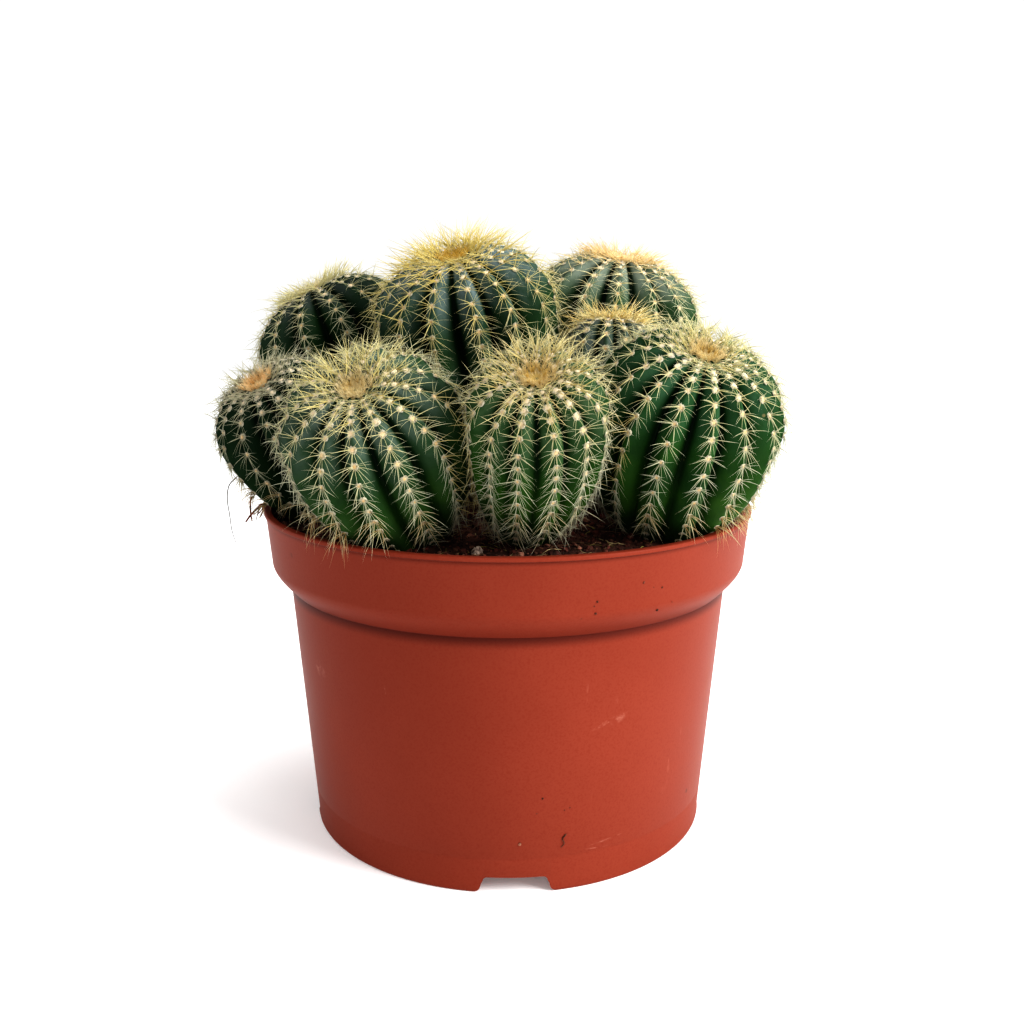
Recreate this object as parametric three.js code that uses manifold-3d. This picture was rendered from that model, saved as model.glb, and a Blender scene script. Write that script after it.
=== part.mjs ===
// A clump of eight round, ribbed, golden-spined cactus heads in a moulded clay-coloured pot.
// Millimetres, +Z up. The origin is the middle of the pot's flat underside.

import * as THREE from "three";
import { mergeVertices } from "three/addons/utils/BufferGeometryUtils.js";
import Module from "manifold-3d";

const wasm = await Module();
wasm.setup();

// Driving dimensions of the pot.
const POT_HEIGHT = 114;
const LIP_RADIUS = 85.5;
const LIP_HEIGHT = 1.6;
const COLLAR_TOP_RADIUS = 84.9;
const COLLAR_LOW_RADIUS = 83.4;
const COLLAR_BOTTOM = 87.2;
const COLLAR_CURVE_HEIGHT = 8.8;
const BODY_TOP_RADIUS = 77.2;
const FOOT_RADIUS = 70.2;
const WALL = 1.9;
const LIP_STEP = 0.5;
const LIP_BEVEL = 0.6;
const FOOT_BEVEL = 0.8;
const FLOOR = 2.4;
const POT_TURN = THREE.MathUtils.degToRad(2);
const POT_SIDES = 36;
const COLLAR_STEPS = 4;

// Four drain channels, which show as shallow notches at the foot.
const CHANNEL_COUNT = 4;
const CHANNEL_WIDTH = 22;
const CHANNEL_HEIGHT = 5.6;
const CHANNEL_CORNER = 1.5;
const CHANNEL_INNER_RADIUS = 40;
const CHANNEL_COVER = 2;
const DRAIN_RADIUS = 3.5;
const DRAIN_AT = 54;
const DRAIN_SIDES = 10;
const CUT_OVERLAP = 1;
const CUT_REACH = 10;

// Soil.
const SOIL_EDGE_DROP = 5.5;
const SOIL_MOUND = 2.5;
const SOIL_RINGS = [1, 0.8, 0.55, 0.28, 0];
const CLEARANCE = 0.3;
const ROOT_CLEARANCE = 0.5;

// Heads, shared proportions.
const ROOT_LEVEL = 104;
const TAPER_CURVE = 2.4;
const TAPER_POWER = 0.8;
const HOLLOW_DEPTH = 4;
const HOLLOW_WIDTH = 8;
const RIB_DEPTH = 0.17;
const RING_STEP = 11.5;
const RING_SAMPLES = 400;
const BURIED = 9;
const RIB_RISE = 14;
const RIB_START_RADIUS = 3;
const RIB_FULL_RADIUS = 14;
const HOLE_TOP = BURIED + 24;

// Areoles and spines.
const AREOLE_RADIUS = 1.1;
const AREOLE_LIFT = 0.5;
const SPINE_LENGTH = 8.5;
const SPINE_RISE = THREE.MathUtils.degToRad(32);
const CROWN_RISE = THREE.MathUtils.degToRad(62);
const RISE_SPREAD = 0.35;
const SHORTEST_SPINE = 0.8;
const LENGTH_SPREAD = 0.35;
const DROOP = 0.5;
const SPINE_GAP = 0.55;
const BODY_GAP = 0.7;
const SHORTENINGS = [1, 0.8, 0.62, 0.46];
const TESTED_SHARES = [0.3, 0.5, 0.7, 0.85, 1];
const OUT_OF_REACH = 22;
const CROWDED_SHARE = 0.5;

// Each head grows from its root to its crown, in millimetres from the pot's axis. Its axis is an arc
// that leans further by the bend, in degrees along x and y. The cap is the dome's height over its radius.
const HEADS = [
  {
    name: "head_centre",
    root: [-5.3, 25.2],
    crown: [-19.1, -0.5, 201],
    bend: [-6.4, -8],
    radius: 31.9,
    cap: 0.68,
    ribs: 14,
    turn: 21.3,
  },
  {
    name: "head_front",
    root: [2.5, -38.3],
    crown: [8, -84.8, 167.8],
    bend: [-16.9, -7.6],
    radius: 20.9,
    cap: 0.87,
    ribs: 13,
    turn: 6.9,
  },
  {
    name: "head_front_left",
    root: [-27.2, -27.7],
    crown: [-44.3, -74.8, 163.5],
    bend: [8.2, -2.9],
    radius: 27.9,
    cap: 0.77,
    ribs: 13,
    turn: 17.7,
  },
  {
    name: "head_front_right",
    root: [52.8, -15.3],
    crown: [59.9, -59.6, 172.3],
    bend: [11.5, 10.8],
    radius: 30.2,
    cap: 0.82,
    ribs: 15,
    turn: 9.1,
  },
  {
    name: "head_left",
    root: [-35.6, 3.1],
    crown: [-83.9, -23.7, 160.2],
    bend: [32.8, -2.8],
    radius: 24.9,
    cap: 0.88,
    ribs: 13,
    turn: 21.5,
  },
  {
    name: "head_back_left",
    root: [-51.4, 39.7],
    crown: [-75.8, 45.4, 189.1],
    bend: [-20.7, -17.9],
    radius: 30.9,
    cap: 0.69,
    ribs: 13,
    turn: 9.7,
  },
  {
    name: "head_back_right",
    root: [41.4, 42.9],
    crown: [43.9, 48.6, 200.6],
    bend: [15.3, -21],
    radius: 33.3,
    cap: 0.70,
    ribs: 15,
    turn: 3.5,
  },
  {
    name: "head_right",
    root: [34.5, -2],
    crown: [36.3, 3.6, 180.3],
    bend: [2.2, 10.3],
    radius: 15.7,
    cap: 0.85,
    ribs: 13,
    turn: 9,
  },
];

const CLAY = { color: 0xa9503a, roughness: 0.5, metalness: 0 };
const EARTH = { color: 0x2b1c14, roughness: 0.95, metalness: 0 };
const FLESH = { color: 0x39573f, roughness: 0.6, metalness: 0 };

// Repeatable random numbers, so that every build gives the same plant.
function seededRandom(seed) {
  let state = seed >>> 0;
  return () => {
    state = (Math.imul(state, 1664525) + 1013904223) >>> 0;
    return state / 4294967296;
  };
}

// Joining and cutting closed solids.
function toSolid(geometry) {
  const bare = geometry.clone();
  bare.deleteAttribute("normal");
  bare.deleteAttribute("uv");
  const merged = mergeVertices(bare, 1e-4);
  return new wasm.Manifold(
    new wasm.Mesh({
      numProp: 3,
      vertProperties: Float32Array.from(merged.attributes.position.array),
      triVerts: Uint32Array.from(merged.index.array),
    })
  );
}

function toGeometry(solid) {
  const mesh = solid.getMesh();
  const geometry = new THREE.BufferGeometry();
  geometry.setAttribute("position", new THREE.BufferAttribute(Float32Array.from(mesh.vertProperties), 3));
  geometry.setIndex(Array.from(mesh.triVerts));
  geometry.computeVertexNormals();
  return geometry;
}

function turned(profile, sides) {
  const points = profile.map(([radius, height]) => new THREE.Vector2(radius, height));
  const geometry = new THREE.LatheGeometry(points, sides);
  geometry.rotateX(Math.PI / 2);
  return geometry;
}

function potBodyRadius(height) {
  return THREE.MathUtils.lerp(FOOT_RADIUS, BODY_TOP_RADIUS, height / COLLAR_BOTTOM);
}

// The collar's lower edge leaves the body at half a right angle and curls up to the band.
function collarCurve(inset) {
  const points = [];
  const reach = COLLAR_LOW_RADIUS - BODY_TOP_RADIUS;
  for (let step = 0; step <= COLLAR_STEPS; step += 1) {
    const angle = (step / COLLAR_STEPS) * (Math.PI / 2);
    const rise = COLLAR_CURVE_HEIGHT * Math.sqrt(1 - Math.cos(angle));
    points.push([BODY_TOP_RADIUS - inset + reach * Math.sin(angle), COLLAR_BOTTOM + rise]);
  }
  return points;
}

function channelOutline(width, height, corner) {
  const shape = new THREE.Shape();
  shape.moveTo(-width / 2, -CUT_OVERLAP);
  shape.lineTo(width / 2, -CUT_OVERLAP);
  shape.lineTo(width / 2, height - corner);
  shape.quadraticCurveTo(width / 2, height, width / 2 - corner, height);
  shape.lineTo(-width / 2 + corner, height);
  shape.quadraticCurveTo(-width / 2, height, -width / 2, height - corner);
  return shape;
}

// A tunnel-shaped block that runs outward along the floor at the given angle.
function channelBlock(extra, innerRadius, angle) {
  const outline = channelOutline(CHANNEL_WIDTH + 2 * extra, CHANNEL_HEIGHT + extra, CHANNEL_CORNER);
  const length = FOOT_RADIUS + CUT_REACH - innerRadius;
  const block = new THREE.ExtrudeGeometry(outline, { depth: length, bevelEnabled: false, curveSegments: 3 });
  block.rotateX(Math.PI / 2);
  block.translate(0, -innerRadius, 0);
  block.rotateZ(angle + POT_TURN);
  return toSolid(block);
}

function channelAngles() {
  return Array.from({ length: CHANNEL_COUNT }, (_, index) => (index / CHANNEL_COUNT) * 2 * Math.PI);
}

function buildPot() {
  const outside = [
    [0, 0],
    [FOOT_RADIUS - FOOT_BEVEL, 0],
    [potBodyRadius(FOOT_BEVEL), FOOT_BEVEL],
    ...collarCurve(0),
    [COLLAR_TOP_RADIUS, POT_HEIGHT - LIP_HEIGHT],
    [LIP_RADIUS, POT_HEIGHT - LIP_HEIGHT + LIP_STEP],
    [LIP_RADIUS, POT_HEIGHT - LIP_BEVEL],
    [LIP_RADIUS - LIP_BEVEL, POT_HEIGHT],
  ];
  const inside = [
    [LIP_RADIUS - WALL - LIP_STEP, POT_HEIGHT],
    [COLLAR_TOP_RADIUS - WALL, POT_HEIGHT - LIP_HEIGHT],
    ...collarCurve(WALL).reverse(),
    [potBodyRadius(FLOOR) - WALL, FLOOR],
    [0, FLOOR],
  ];
  let pot = toSolid(turned([...outside, ...inside], POT_SIDES));
  const coreRadius = FOOT_RADIUS - FOOT_BEVEL;
  const coreTop = CHANNEL_HEIGHT + CUT_REACH;
  const core = toSolid(turned([[0, 0], [coreRadius, 0], [coreRadius, coreTop], [0, coreTop]], POT_SIDES));
  const covers = channelAngles().map((angle) =>
    channelBlock(CHANNEL_COVER, CHANNEL_INNER_RADIUS - CHANNEL_COVER, angle).intersect(core)
  );
  for (const cover of covers) pot = pot.add(cover);
  for (const angle of channelAngles()) {
    pot = pot.subtract(channelBlock(0, CHANNEL_INNER_RADIUS, angle));
    const drain = new THREE.CylinderGeometry(DRAIN_RADIUS, DRAIN_RADIUS, 2 * CUT_REACH, DRAIN_SIDES);
    drain.rotateX(Math.PI / 2);
    drain.translate(0, -DRAIN_AT, 0);
    drain.rotateZ(angle + POT_TURN);
    pot = pot.subtract(toSolid(drain));
  }
  return toGeometry(pot);
}

// Height of the soil's surface at a distance from the pot's axis.
function soilHeight(distance) {
  const edge = potInnerRadius(POT_HEIGHT - SOIL_EDGE_DROP);
  const share = Math.min(distance / edge, 1);
  return POT_HEIGHT - SOIL_EDGE_DROP + SOIL_MOUND * (1 - share * share);
}

function potInnerRadius(height) {
  const low = COLLAR_BOTTOM + COLLAR_CURVE_HEIGHT;
  const share = (height - low) / (POT_HEIGHT - LIP_HEIGHT - low);
  return THREE.MathUtils.lerp(COLLAR_LOW_RADIUS, COLLAR_TOP_RADIUS, share) - WALL;
}

function buildSoil(heads) {
  const edge = potInnerRadius(POT_HEIGHT - SOIL_EDGE_DROP) - CLEARANCE;
  const surface = SOIL_RINGS.map((share) => [share * edge, soilHeight(share * edge)]);
  const wall = collarCurve(WALL + CLEARANCE);
  const floorRadius = potBodyRadius(FLOOR) - WALL - CLEARANCE;
  let soil = toSolid(turned([[0, FLOOR], [floorRadius, FLOOR], ...wall, ...surface], POT_SIDES));
  for (const angle of channelAngles()) {
    const around = CHANNEL_COVER + CLEARANCE;
    soil = soil.subtract(channelBlock(around, CHANNEL_INNER_RADIUS - around, angle));
  }
  for (const head of heads) soil = soil.subtract(rootHole(head));
  return toGeometry(soil);
}

// A head in its own frame: the root at the origin, the crown on +Z.
function prepareHead(spec) {
  const root = new THREE.Vector3(spec.root[0], spec.root[1], ROOT_LEVEL);
  const crown = new THREE.Vector3(...spec.crown);
  const axis = crown.clone().sub(root);
  const length = axis.length();
  axis.normalize();
  const place = new THREE.Quaternion().setFromUnitVectors(new THREE.Vector3(0, 0, 1), axis);
  const lean = new THREE.Vector3(spec.bend[0], spec.bend[1], 0);
  const bend = THREE.MathUtils.degToRad(lean.length());
  lean.applyQuaternion(place.clone().invert()).setZ(0).normalize();
  const bendRadius = length / 2 / Math.sin(bend / 2);
  const head = { ...spec, root, axis, length, place, lean, bend, bendRadius };
  head.rings = ringsOf(head);
  return head;
}

// Moves a point of the straight head to the head whose axis is an arc from root to crown.
function bendPoint(head, point) {
  const { lean, bend, bendRadius } = head;
  const along = point.x * lean.x + point.y * lean.y;
  const across = point.y * lean.x - point.x * lean.y;
  const turn = bend * (point.z / head.length - 0.5);
  const reach = bendRadius - along;
  const moved = bendRadius * Math.cos(bend / 2) - reach * Math.cos(turn);
  point.x = moved * lean.x - across * lean.y;
  point.y = moved * lean.y + across * lean.x;
  point.z = bendRadius * Math.sin(bend / 2) + reach * Math.sin(turn);
  return point;
}

// The height and the distance from the arc of the axis, for a point in the head's frame.
function placeOnAxis(head, point) {
  const { lean, bend, bendRadius } = head;
  const along = point.x * lean.x + point.y * lean.y - bendRadius * Math.cos(bend / 2);
  const across = point.y * lean.x - point.x * lean.y;
  const up = point.z - bendRadius * Math.sin(bend / 2);
  const height = head.length * (Math.atan2(up, -along) / bend + 0.5);
  return { height, aside: Math.hypot(bendRadius - Math.hypot(along, up), across) };
}

// Radius over the crests at a height along the head's axis, without the hollow of the crown.
function crestRadius(head, height) {
  const cap = head.cap * head.radius;
  const widest = head.length - cap;
  if (height >= widest) {
    const share = Math.min((height - widest) / cap, 1);
    return head.radius * Math.sqrt(1 - share * share);
  }
  const share = Math.min((widest - height) / widest, 1);
  return head.radius * (1 - share ** TAPER_CURVE) ** TAPER_POWER;
}

// Evenly spaced rings along a crest, from the root to the rim of the crown's hollow.
function ringsOf(head) {
  const fine = [];
  for (let step = 0; step <= RING_SAMPLES; step += 1) {
    // Cosine spacing keeps samples close at both poles, where the radius changes fast.
    const height = (head.length * (1 - Math.cos((Math.PI * step) / RING_SAMPLES))) / 2;
    const radius = crestRadius(head, height);
    const sunk = height > head.length / 2 ? HOLLOW_DEPTH * Math.exp(-((radius / HOLLOW_WIDTH) ** 2)) : 0;
    fine.push({ radius, height: height - sunk });
  }
  const along = [0];
  for (let step = 1; step <= RING_SAMPLES; step += 1) {
    const rise = fine[step].height - fine[step - 1].height;
    const run = fine[step].radius - fine[step - 1].radius;
    along.push(along[step - 1] + Math.hypot(rise, run));
  }
  const total = along[RING_SAMPLES];
  const count = Math.round(total / RING_STEP);
  const rings = [];
  for (let ring = 1; ring < count; ring += 1) {
    const target = (ring / count) * total;
    const index = along.findIndex((value) => value >= target);
    rings.push(fine[index]);
  }
  return rings;
}

function ribDepth(head, ring) {
  const risen = THREE.MathUtils.smoothstep(ring.height, BURIED, BURIED + RIB_RISE);
  const spread = THREE.MathUtils.smoothstep(ring.radius, RIB_START_RADIUS, RIB_FULL_RADIUS);
  return RIB_DEPTH * head.radius * risen * spread;
}

// The ribbed body as a list of points and triangles, with crests on the even columns.
function ribbedBody(head) {
  const columns = head.ribs * 2;
  const points = [new THREE.Vector3(0, 0, 0)];
  head.rings.forEach((ring) => {
    for (let column = 0; column < columns; column += 1) {
      const angle = (column / columns) * 2 * Math.PI + THREE.MathUtils.degToRad(head.turn);
      const radius = ring.radius - (column % 2 === 1 ? ribDepth(head, ring) : 0);
      points.push(new THREE.Vector3(radius * Math.cos(angle), radius * Math.sin(angle), ring.height));
    }
  });
  const at = (ring, column) => 1 + ring * columns + ((column + columns) % columns);
  const top = points.length;
  points.push(new THREE.Vector3(0, 0, head.length - HOLLOW_DEPTH));
  for (const point of points) bendPoint(head, point);
  const triangles = [];
  const last = head.rings.length - 1;
  for (let column = 0; column < columns; column += 1) {
    triangles.push([0, at(0, column + 1), at(0, column)]);
    triangles.push([top, at(last, column), at(last, column + 1)]);
    for (let ring = 0; ring < last; ring += 1) {
      const [low, lowNext] = [at(ring, column), at(ring, column + 1)];
      const [high, highNext] = [at(ring + 1, column), at(ring + 1, column + 1)];
      // Diagonals start at the crests, so that both flanks of a rib are alike.
      if (column % 2 === 0) triangles.push([low, lowNext, highNext], [low, highNext, high]);
      else triangles.push([low, lowNext, high], [lowNext, highNext, high]);
    }
  }
  return { points, triangles, at, columns };
}

function faceNormal(a, b, c) {
  return b.clone().sub(a).cross(c.clone().sub(a)).normalize();
}

// The closest distance between two straight spines.
function spineDistance(p1, q1, p2, q2) {
  const d1 = q1.clone().sub(p1);
  const d2 = q2.clone().sub(p2);
  const r = p1.clone().sub(p2);
  const a = d1.dot(d1);
  const e = d2.dot(d2);
  const f = d2.dot(r);
  const c = d1.dot(r);
  const b = d1.dot(d2);
  const denominator = a * e - b * b;
  let s = denominator > 1e-9 ? THREE.MathUtils.clamp((b * f - c * e) / denominator, 0, 1) : 0;
  const t = THREE.MathUtils.clamp((b * s + f) / e, 0, 1);
  s = THREE.MathUtils.clamp((b * t - c) / a, 0, 1);
  return p1.clone().addScaledVector(d1, s).distanceTo(p2.clone().addScaledVector(d2, t));
}

function insideHead(head, point, margin) {
  const local = point.clone().sub(head.root).applyQuaternion(head.place.clone().invert());
  const { height, aside } = placeOnAxis(head, local);
  if (height < -margin || height > head.length + margin) return false;
  const level = THREE.MathUtils.clamp(height, 0, head.length);
  return aside < crestRadius(head, level) + margin || aside < margin;
}

// The rim, the wall and the soil are kept free of spines.
function insidePot(point) {
  const distance = Math.hypot(point.x, point.y);
  if (point.z > POT_HEIGHT + BODY_GAP) return false;
  if (distance > LIP_RADIUS + BODY_GAP) return false;
  if (distance > potInnerRadius(POT_HEIGHT) - BODY_GAP) return true;
  return point.z < soilHeight(distance) + BODY_GAP;
}

function spineIsFree(from, to, head, heads, spines) {
  for (const share of TESTED_SHARES) {
    const point = from.clone().lerp(to, share);
    if (insidePot(point)) return false;
    if (heads.some((other) => other !== head && insideHead(other, point, BODY_GAP))) return false;
  }
  return spines.every((other) => {
    if (other.areole === spines.areole && other.head === head) return true;
    if (other.from.distanceTo(from) > OUT_OF_REACH) return true;
    return spineDistance(from, to, other.from, other.to) > SPINE_GAP;
  });
}

// Raises a star of spines round one crest point, out of the skin itself.
function raiseAreole(body, index, head, heads, spines, random) {
  const { points, triangles } = body;
  const touching = triangles.filter((triangle) => triangle.includes(index));
  const centre = points[index];
  const outward = new THREE.Vector3();
  for (const [a, b, c] of touching) outward.add(faceNormal(points[a], points[b], points[c]));
  outward.normalize();
  const toWorld = (point) => point.clone().applyQuaternion(head.place).add(head.root);
  const fromCrown = (head.length - centre.z) / head.radius;
  const rise = THREE.MathUtils.lerp(CROWN_RISE, SPINE_RISE, THREE.MathUtils.smoothstep(fromCrown, 0.1, 1));
  const droop = DROOP * THREE.MathUtils.smoothstep(1 - centre.z / head.length, 0.45, 0.85);

  const corners = new Map();
  const cornerPlace = (neighbour) => {
    if (!corners.has(neighbour)) {
      const toward = points[neighbour].clone().sub(centre).setLength(AREOLE_RADIUS);
      corners.set(neighbour, centre.clone().add(toward).addScaledVector(outward, AREOLE_LIFT * 0.6));
    }
    return corners.get(neighbour);
  };
  const peak = centre.clone().addScaledVector(outward, AREOLE_LIFT);
  const areole = spines.nextAreole;
  spines.nextAreole += 1;
  spines.areole = areole;

  const plans = touching.map((triangle) => {
    const place = triangle.indexOf(index);
    const [first, second] = [triangle[(place + 1) % 3], triangle[(place + 2) % 3]];
    const [one, two] = [cornerPlace(first), cornerPlace(second)];
    const base = peak.clone().add(one).add(two).divideScalar(3);
    const aside = base.clone().sub(peak).projectOnPlane(outward).normalize();
    const tilt = rise + (random() - 0.5) * RISE_SPREAD;
    const direction = aside.multiplyScalar(Math.cos(tilt)).addScaledVector(outward, Math.sin(tilt));
    direction.z -= droop;
    direction.normalize();
    const full = SPINE_LENGTH * (SHORTEST_SPINE + LENGTH_SPREAD * random());
    const from = toWorld(base);
    let tip = null;
    for (const share of SHORTENINGS) {
      const candidate = base.clone().addScaledVector(direction, full * share);
      if (spineIsFree(from, toWorld(candidate), head, heads, spines)) {
        tip = candidate;
        break;
      }
    }
    if (tip) spines.push({ from, to: toWorld(tip), head, areole });
    return { triangle, first, second, tip };
  });
  if (!plans.some((plan) => plan.tip)) return;

  const cornerIndex = new Map();
  for (const [neighbour, place] of corners) {
    cornerIndex.set(neighbour, points.length);
    points.push(place);
  }
  points[index] = peak;
  for (const { triangle, first, second, tip } of plans) {
    triangles.splice(triangles.indexOf(triangle), 1);
    const [one, two] = [cornerIndex.get(first), cornerIndex.get(second)];
    triangles.push([one, first, second], [one, second, two]);
    if (tip) {
      const apex = points.length;
      points.push(tip);
      triangles.push([index, one, apex], [one, two, apex], [two, index, apex]);
    } else {
      triangles.push([index, one, two]);
    }
  }
}

function buildHead(head, heads, spines) {
  const body = ribbedBody(head);
  const random = seededRandom(head.ribs * 977 + Math.round(head.length * 31));
  head.rings.forEach((ring, row) => {
    const aboveSoil = head.root.z + ring.height * head.axis.z > POT_HEIGHT - 2;
    const outsideHollow = ring.radius > HOLLOW_WIDTH * 0.6;
    if (!aboveSoil || !outsideHollow) return;
    for (let rib = 0; rib < head.ribs; rib += 1) {
      const crowded = ring.radius < head.radius * CROWDED_SHARE;
      const step = crowded ? 3 : 2;
      if ((row + rib) % step !== 0) continue;
      raiseAreole(body, body.at(row, rib * 2), head, heads, spines, random);
    }
  });
  const geometry = new THREE.BufferGeometry().setFromPoints(body.points);
  geometry.setIndex(body.triangles.flat());
  geometry.computeVertexNormals();
  return geometry;
}

// The buried end of a head, a little wider and deeper, cut from the soil as a plain hole.
function rootHole(head) {
  const top = head.rings.findIndex((ring) => ring.height > HOLE_TOP);
  const profile = [[0, -ROOT_CLEARANCE]];
  for (const ring of head.rings.slice(0, top + 1)) {
    profile.push([ring.radius + ROOT_CLEARANCE, ring.height - ROOT_CLEARANCE]);
  }
  profile.push([0, profile[profile.length - 1][1]]);
  const hole = turned(profile, head.ribs * 2);
  hole.rotateZ(THREE.MathUtils.degToRad(head.turn));
  const corner = new THREE.Vector3();
  const corners = hole.getAttribute("position");
  for (let index = 0; index < corners.count; index += 1) {
    bendPoint(head, corner.fromBufferAttribute(corners, index));
    corners.setXYZ(index, corner.x, corner.y, corner.z);
  }
  hole.applyQuaternion(head.place);
  hole.translate(head.root.x, head.root.y, head.root.z);
  return toSolid(hole);
}

function named(name, geometry, look) {
  const mesh = new THREE.Mesh(geometry, new THREE.MeshStandardMaterial(look));
  mesh.name = name;
  return mesh;
}

const heads = HEADS.map(prepareHead);
const spines = [];
spines.nextAreole = 0;

const group = new THREE.Group();
group.add(named("pot", buildPot(), CLAY));
group.add(named("soil", buildSoil(heads), EARTH));
for (const head of heads) {
  const mesh = named(head.name, buildHead(head, heads, spines), FLESH);
  mesh.position.copy(head.root);
  mesh.quaternion.copy(head.place);
  group.add(mesh);
}

export default group;
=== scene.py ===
"""Looks for a clump of eight golden-spined round cacti in a clay-coloured plastic pot."""

import math
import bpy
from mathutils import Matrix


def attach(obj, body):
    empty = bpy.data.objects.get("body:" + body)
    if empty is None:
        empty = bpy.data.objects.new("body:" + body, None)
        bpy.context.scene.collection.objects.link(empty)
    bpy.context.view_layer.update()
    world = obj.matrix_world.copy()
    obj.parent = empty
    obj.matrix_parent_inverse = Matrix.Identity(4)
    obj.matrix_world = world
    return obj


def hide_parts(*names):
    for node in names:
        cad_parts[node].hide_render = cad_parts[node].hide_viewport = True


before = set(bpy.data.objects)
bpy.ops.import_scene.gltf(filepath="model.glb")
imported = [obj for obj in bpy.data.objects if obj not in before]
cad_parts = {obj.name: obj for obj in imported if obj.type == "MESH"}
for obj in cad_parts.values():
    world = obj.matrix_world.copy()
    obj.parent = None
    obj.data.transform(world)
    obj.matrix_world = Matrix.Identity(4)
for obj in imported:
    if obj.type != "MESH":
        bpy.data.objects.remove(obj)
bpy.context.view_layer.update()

from types import SimpleNamespace

import bmesh
import bpy
import numpy as np
from mathutils import Vector, noise

MM = 0.001
TAU = 2 * math.pi

# The photograph's camera, fitted to the pot's rim, collar and foot.
CAMERA_PLACE = (1.45 * MM, -399.5 * MM, 193.7 * MM)
CAMERA_PITCH = math.radians(11.92)
CAMERA_LENS = 39.95
CAMERA_SENSOR = 36

# Studio: strength of the white world, the floor, and the lamps with their places and powers.
WORLD_LIGHT = 0.72
FLOOR_RADIUS = 1.9
FLOOR_SIDES = 96
LAMP_SIZE = 0.5
LAMP_TARGET = (0, 0, 0.11)
LAMPS = {"key": ((0.74, -0.42, 0.55), 9.1), "top": ((0.1, 0.2, 0.95), 3)}

# Pot.
POT_HEIGHT = 114 * MM
POT_TURN = math.radians(2)
POT_SIDES = 192
LIP_RADIUS = 85.5 * MM
LIP_BASE = POT_HEIGHT - 1.6 * MM
LIP_BEVEL = 0.6 * MM
COLLAR_TOP_RADIUS = 84.9 * MM
COLLAR_LOW_RADIUS = 83.4 * MM
COLLAR_BOTTOM = 87.2 * MM
COLLAR_CURVE_HEIGHT = 8.8 * MM
COLLAR_CURVE_TOP = COLLAR_BOTTOM + COLLAR_CURVE_HEIGHT
BODY_TOP_RADIUS = 77.2 * MM
FOOT_RADIUS = 70.2 * MM
FOOT_BEAD = 0.3 * MM
FOOT_BEVEL = 0.8 * MM
RING_LINE_HEIGHT = 12 * MM
RING_LINE_DEPTH = 0.14 * MM
WALL = 1.9 * MM
FLOOR = 2.4 * MM

# The channels under the pot, with the plastic that covers them, and the drain holes.
CHANNEL_COUNT = 4
CHANNEL_WIDTH = 22 * MM
CHANNEL_HEIGHT = 5.6 * MM
CHANNEL_CORNER = 1.5 * MM
CHANNEL_FLARE = 3 * MM
CHANNEL_INSET = 0.6 * MM
CHANNEL_INNER_RADIUS = 40 * MM
COVER_WALL = 2 * MM
COVER_BOTTOM = 0.5 * MM
DRAIN_RADIUS = 3.5 * MM
DRAIN_AT = 54 * MM
DRAIN_SIDES = 32

# Pale scuffs on the pot: centre in mm, tilt in degrees and half sizes in mm.
SCUFFS = [
    ((35.1, -66.1, 57.7), -28, (4.2, 5, 1.6)),
    ((30.5, -68.3, 57.0), -24, (6.0, 5, 0.9)),
    ((-62.0, -42.9, 65.5), 24, (5.0, 5, 3.0)),
    ((33.0, -65.0, 15.5), -8, (9.0, 6, 0.45)),
    ((29.0, -66.0, 13.2), 4, (6.0, 6, 0.35)),
    ((-38.0, -64.5, 66.0), 82, (2.6, 5, 0.3)),
]

# Bits of soil on the pot: angle from the front in degrees, height and radius in mm. The last is pale.
FLECKS = [
    (28.9, 103.5, 0.36), (31.5, 101.5, 0.2), (33.8, 100.9, 0.28), (18.4, 99.3, 0.32), (17.8, 97.9, 0.2),
    (18.2, 95.6, 0.4), (15.2, 94.3, 0.2), (37.0, 95.5, 0.24), (33.2, 93.7, 0.4), (8.7, 33.5, 0.4),
    (7.3, 28.3, 0.2), (15.7, 29.3, 0.2), (14.3, 28.7, 0.24), (3.1, 17.7, 0.48),
]

# Root ends at the left of the rim with their radius, and one long hair, in mm.
ROOT_ENDS = [
    ([(-84.2, -14, 114.6), (-85.8, -14, 114.5), (-89.1, -14, 111.3), (-91.0, -14, 108.8)], 0.54),
    ([(-88.0, -13, 117.5), (-88.9, -14, 116.7), (-89.2, -14, 112.1), (-88.8, -14, 109.1)], 0.432),
]
SMALL_ROOTS = 6
LONG_HAIR = [(-93.2, -14.5, 124.8), (-96.2, -14, 121.6), (-97, -14, 116.6)]
LONG_HAIR += [(-96.5, -14, 111.3), (-96, -14, 105.9), (-94.9, -14, 101.5)]
# A fibre on the pot: angle from the front in degrees, and height in mm.
FOOT_FIBRE = [(14.9, 20.2), (14.0, 18.6), (14.5, 17.0), (13.7, 15.6)]
STRAND_SIDES = 5

# Soil.
SOIL_EDGE = POT_HEIGHT - 5.5 * MM
SOIL_MOUND = 2.5 * MM
SOIL_BOTTOM = 8 * MM
SOIL_SIDES = 300
SOIL_RINGS = 90
CLEARANCE = 0.3 * MM
CRUMB_COUNT = 5200
LUMP_COUNT = 260
FIBRE_COUNT = 420
# The stones' places and radii in mm. The first lies behind the front rim.
STONES = [(-9.2, -62.2, 1.8), (31, -66, 1.0), (-60, 50, 1.4), (12, 70, 1.6), (-30, 62, 1.1), (70, 20, 1.2)]

# Heads, shared proportions.
ROOT_LEVEL = 104 * MM
TAPER_CURVE = 2.4
TAPER_POWER = 0.8
HOLLOW_DEPTH = 4 * MM
HOLLOW_WIDTH = 8 * MM
HEART_RADIUS = 5.2 * MM
BURIED = 9 * MM
RIB_SAMPLES = 14
ROW_STEP = 0.85 * MM
AREOLE_STEP = 5.3 * MM
AREOLE_RADIUS = 1.08 * MM

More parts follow.
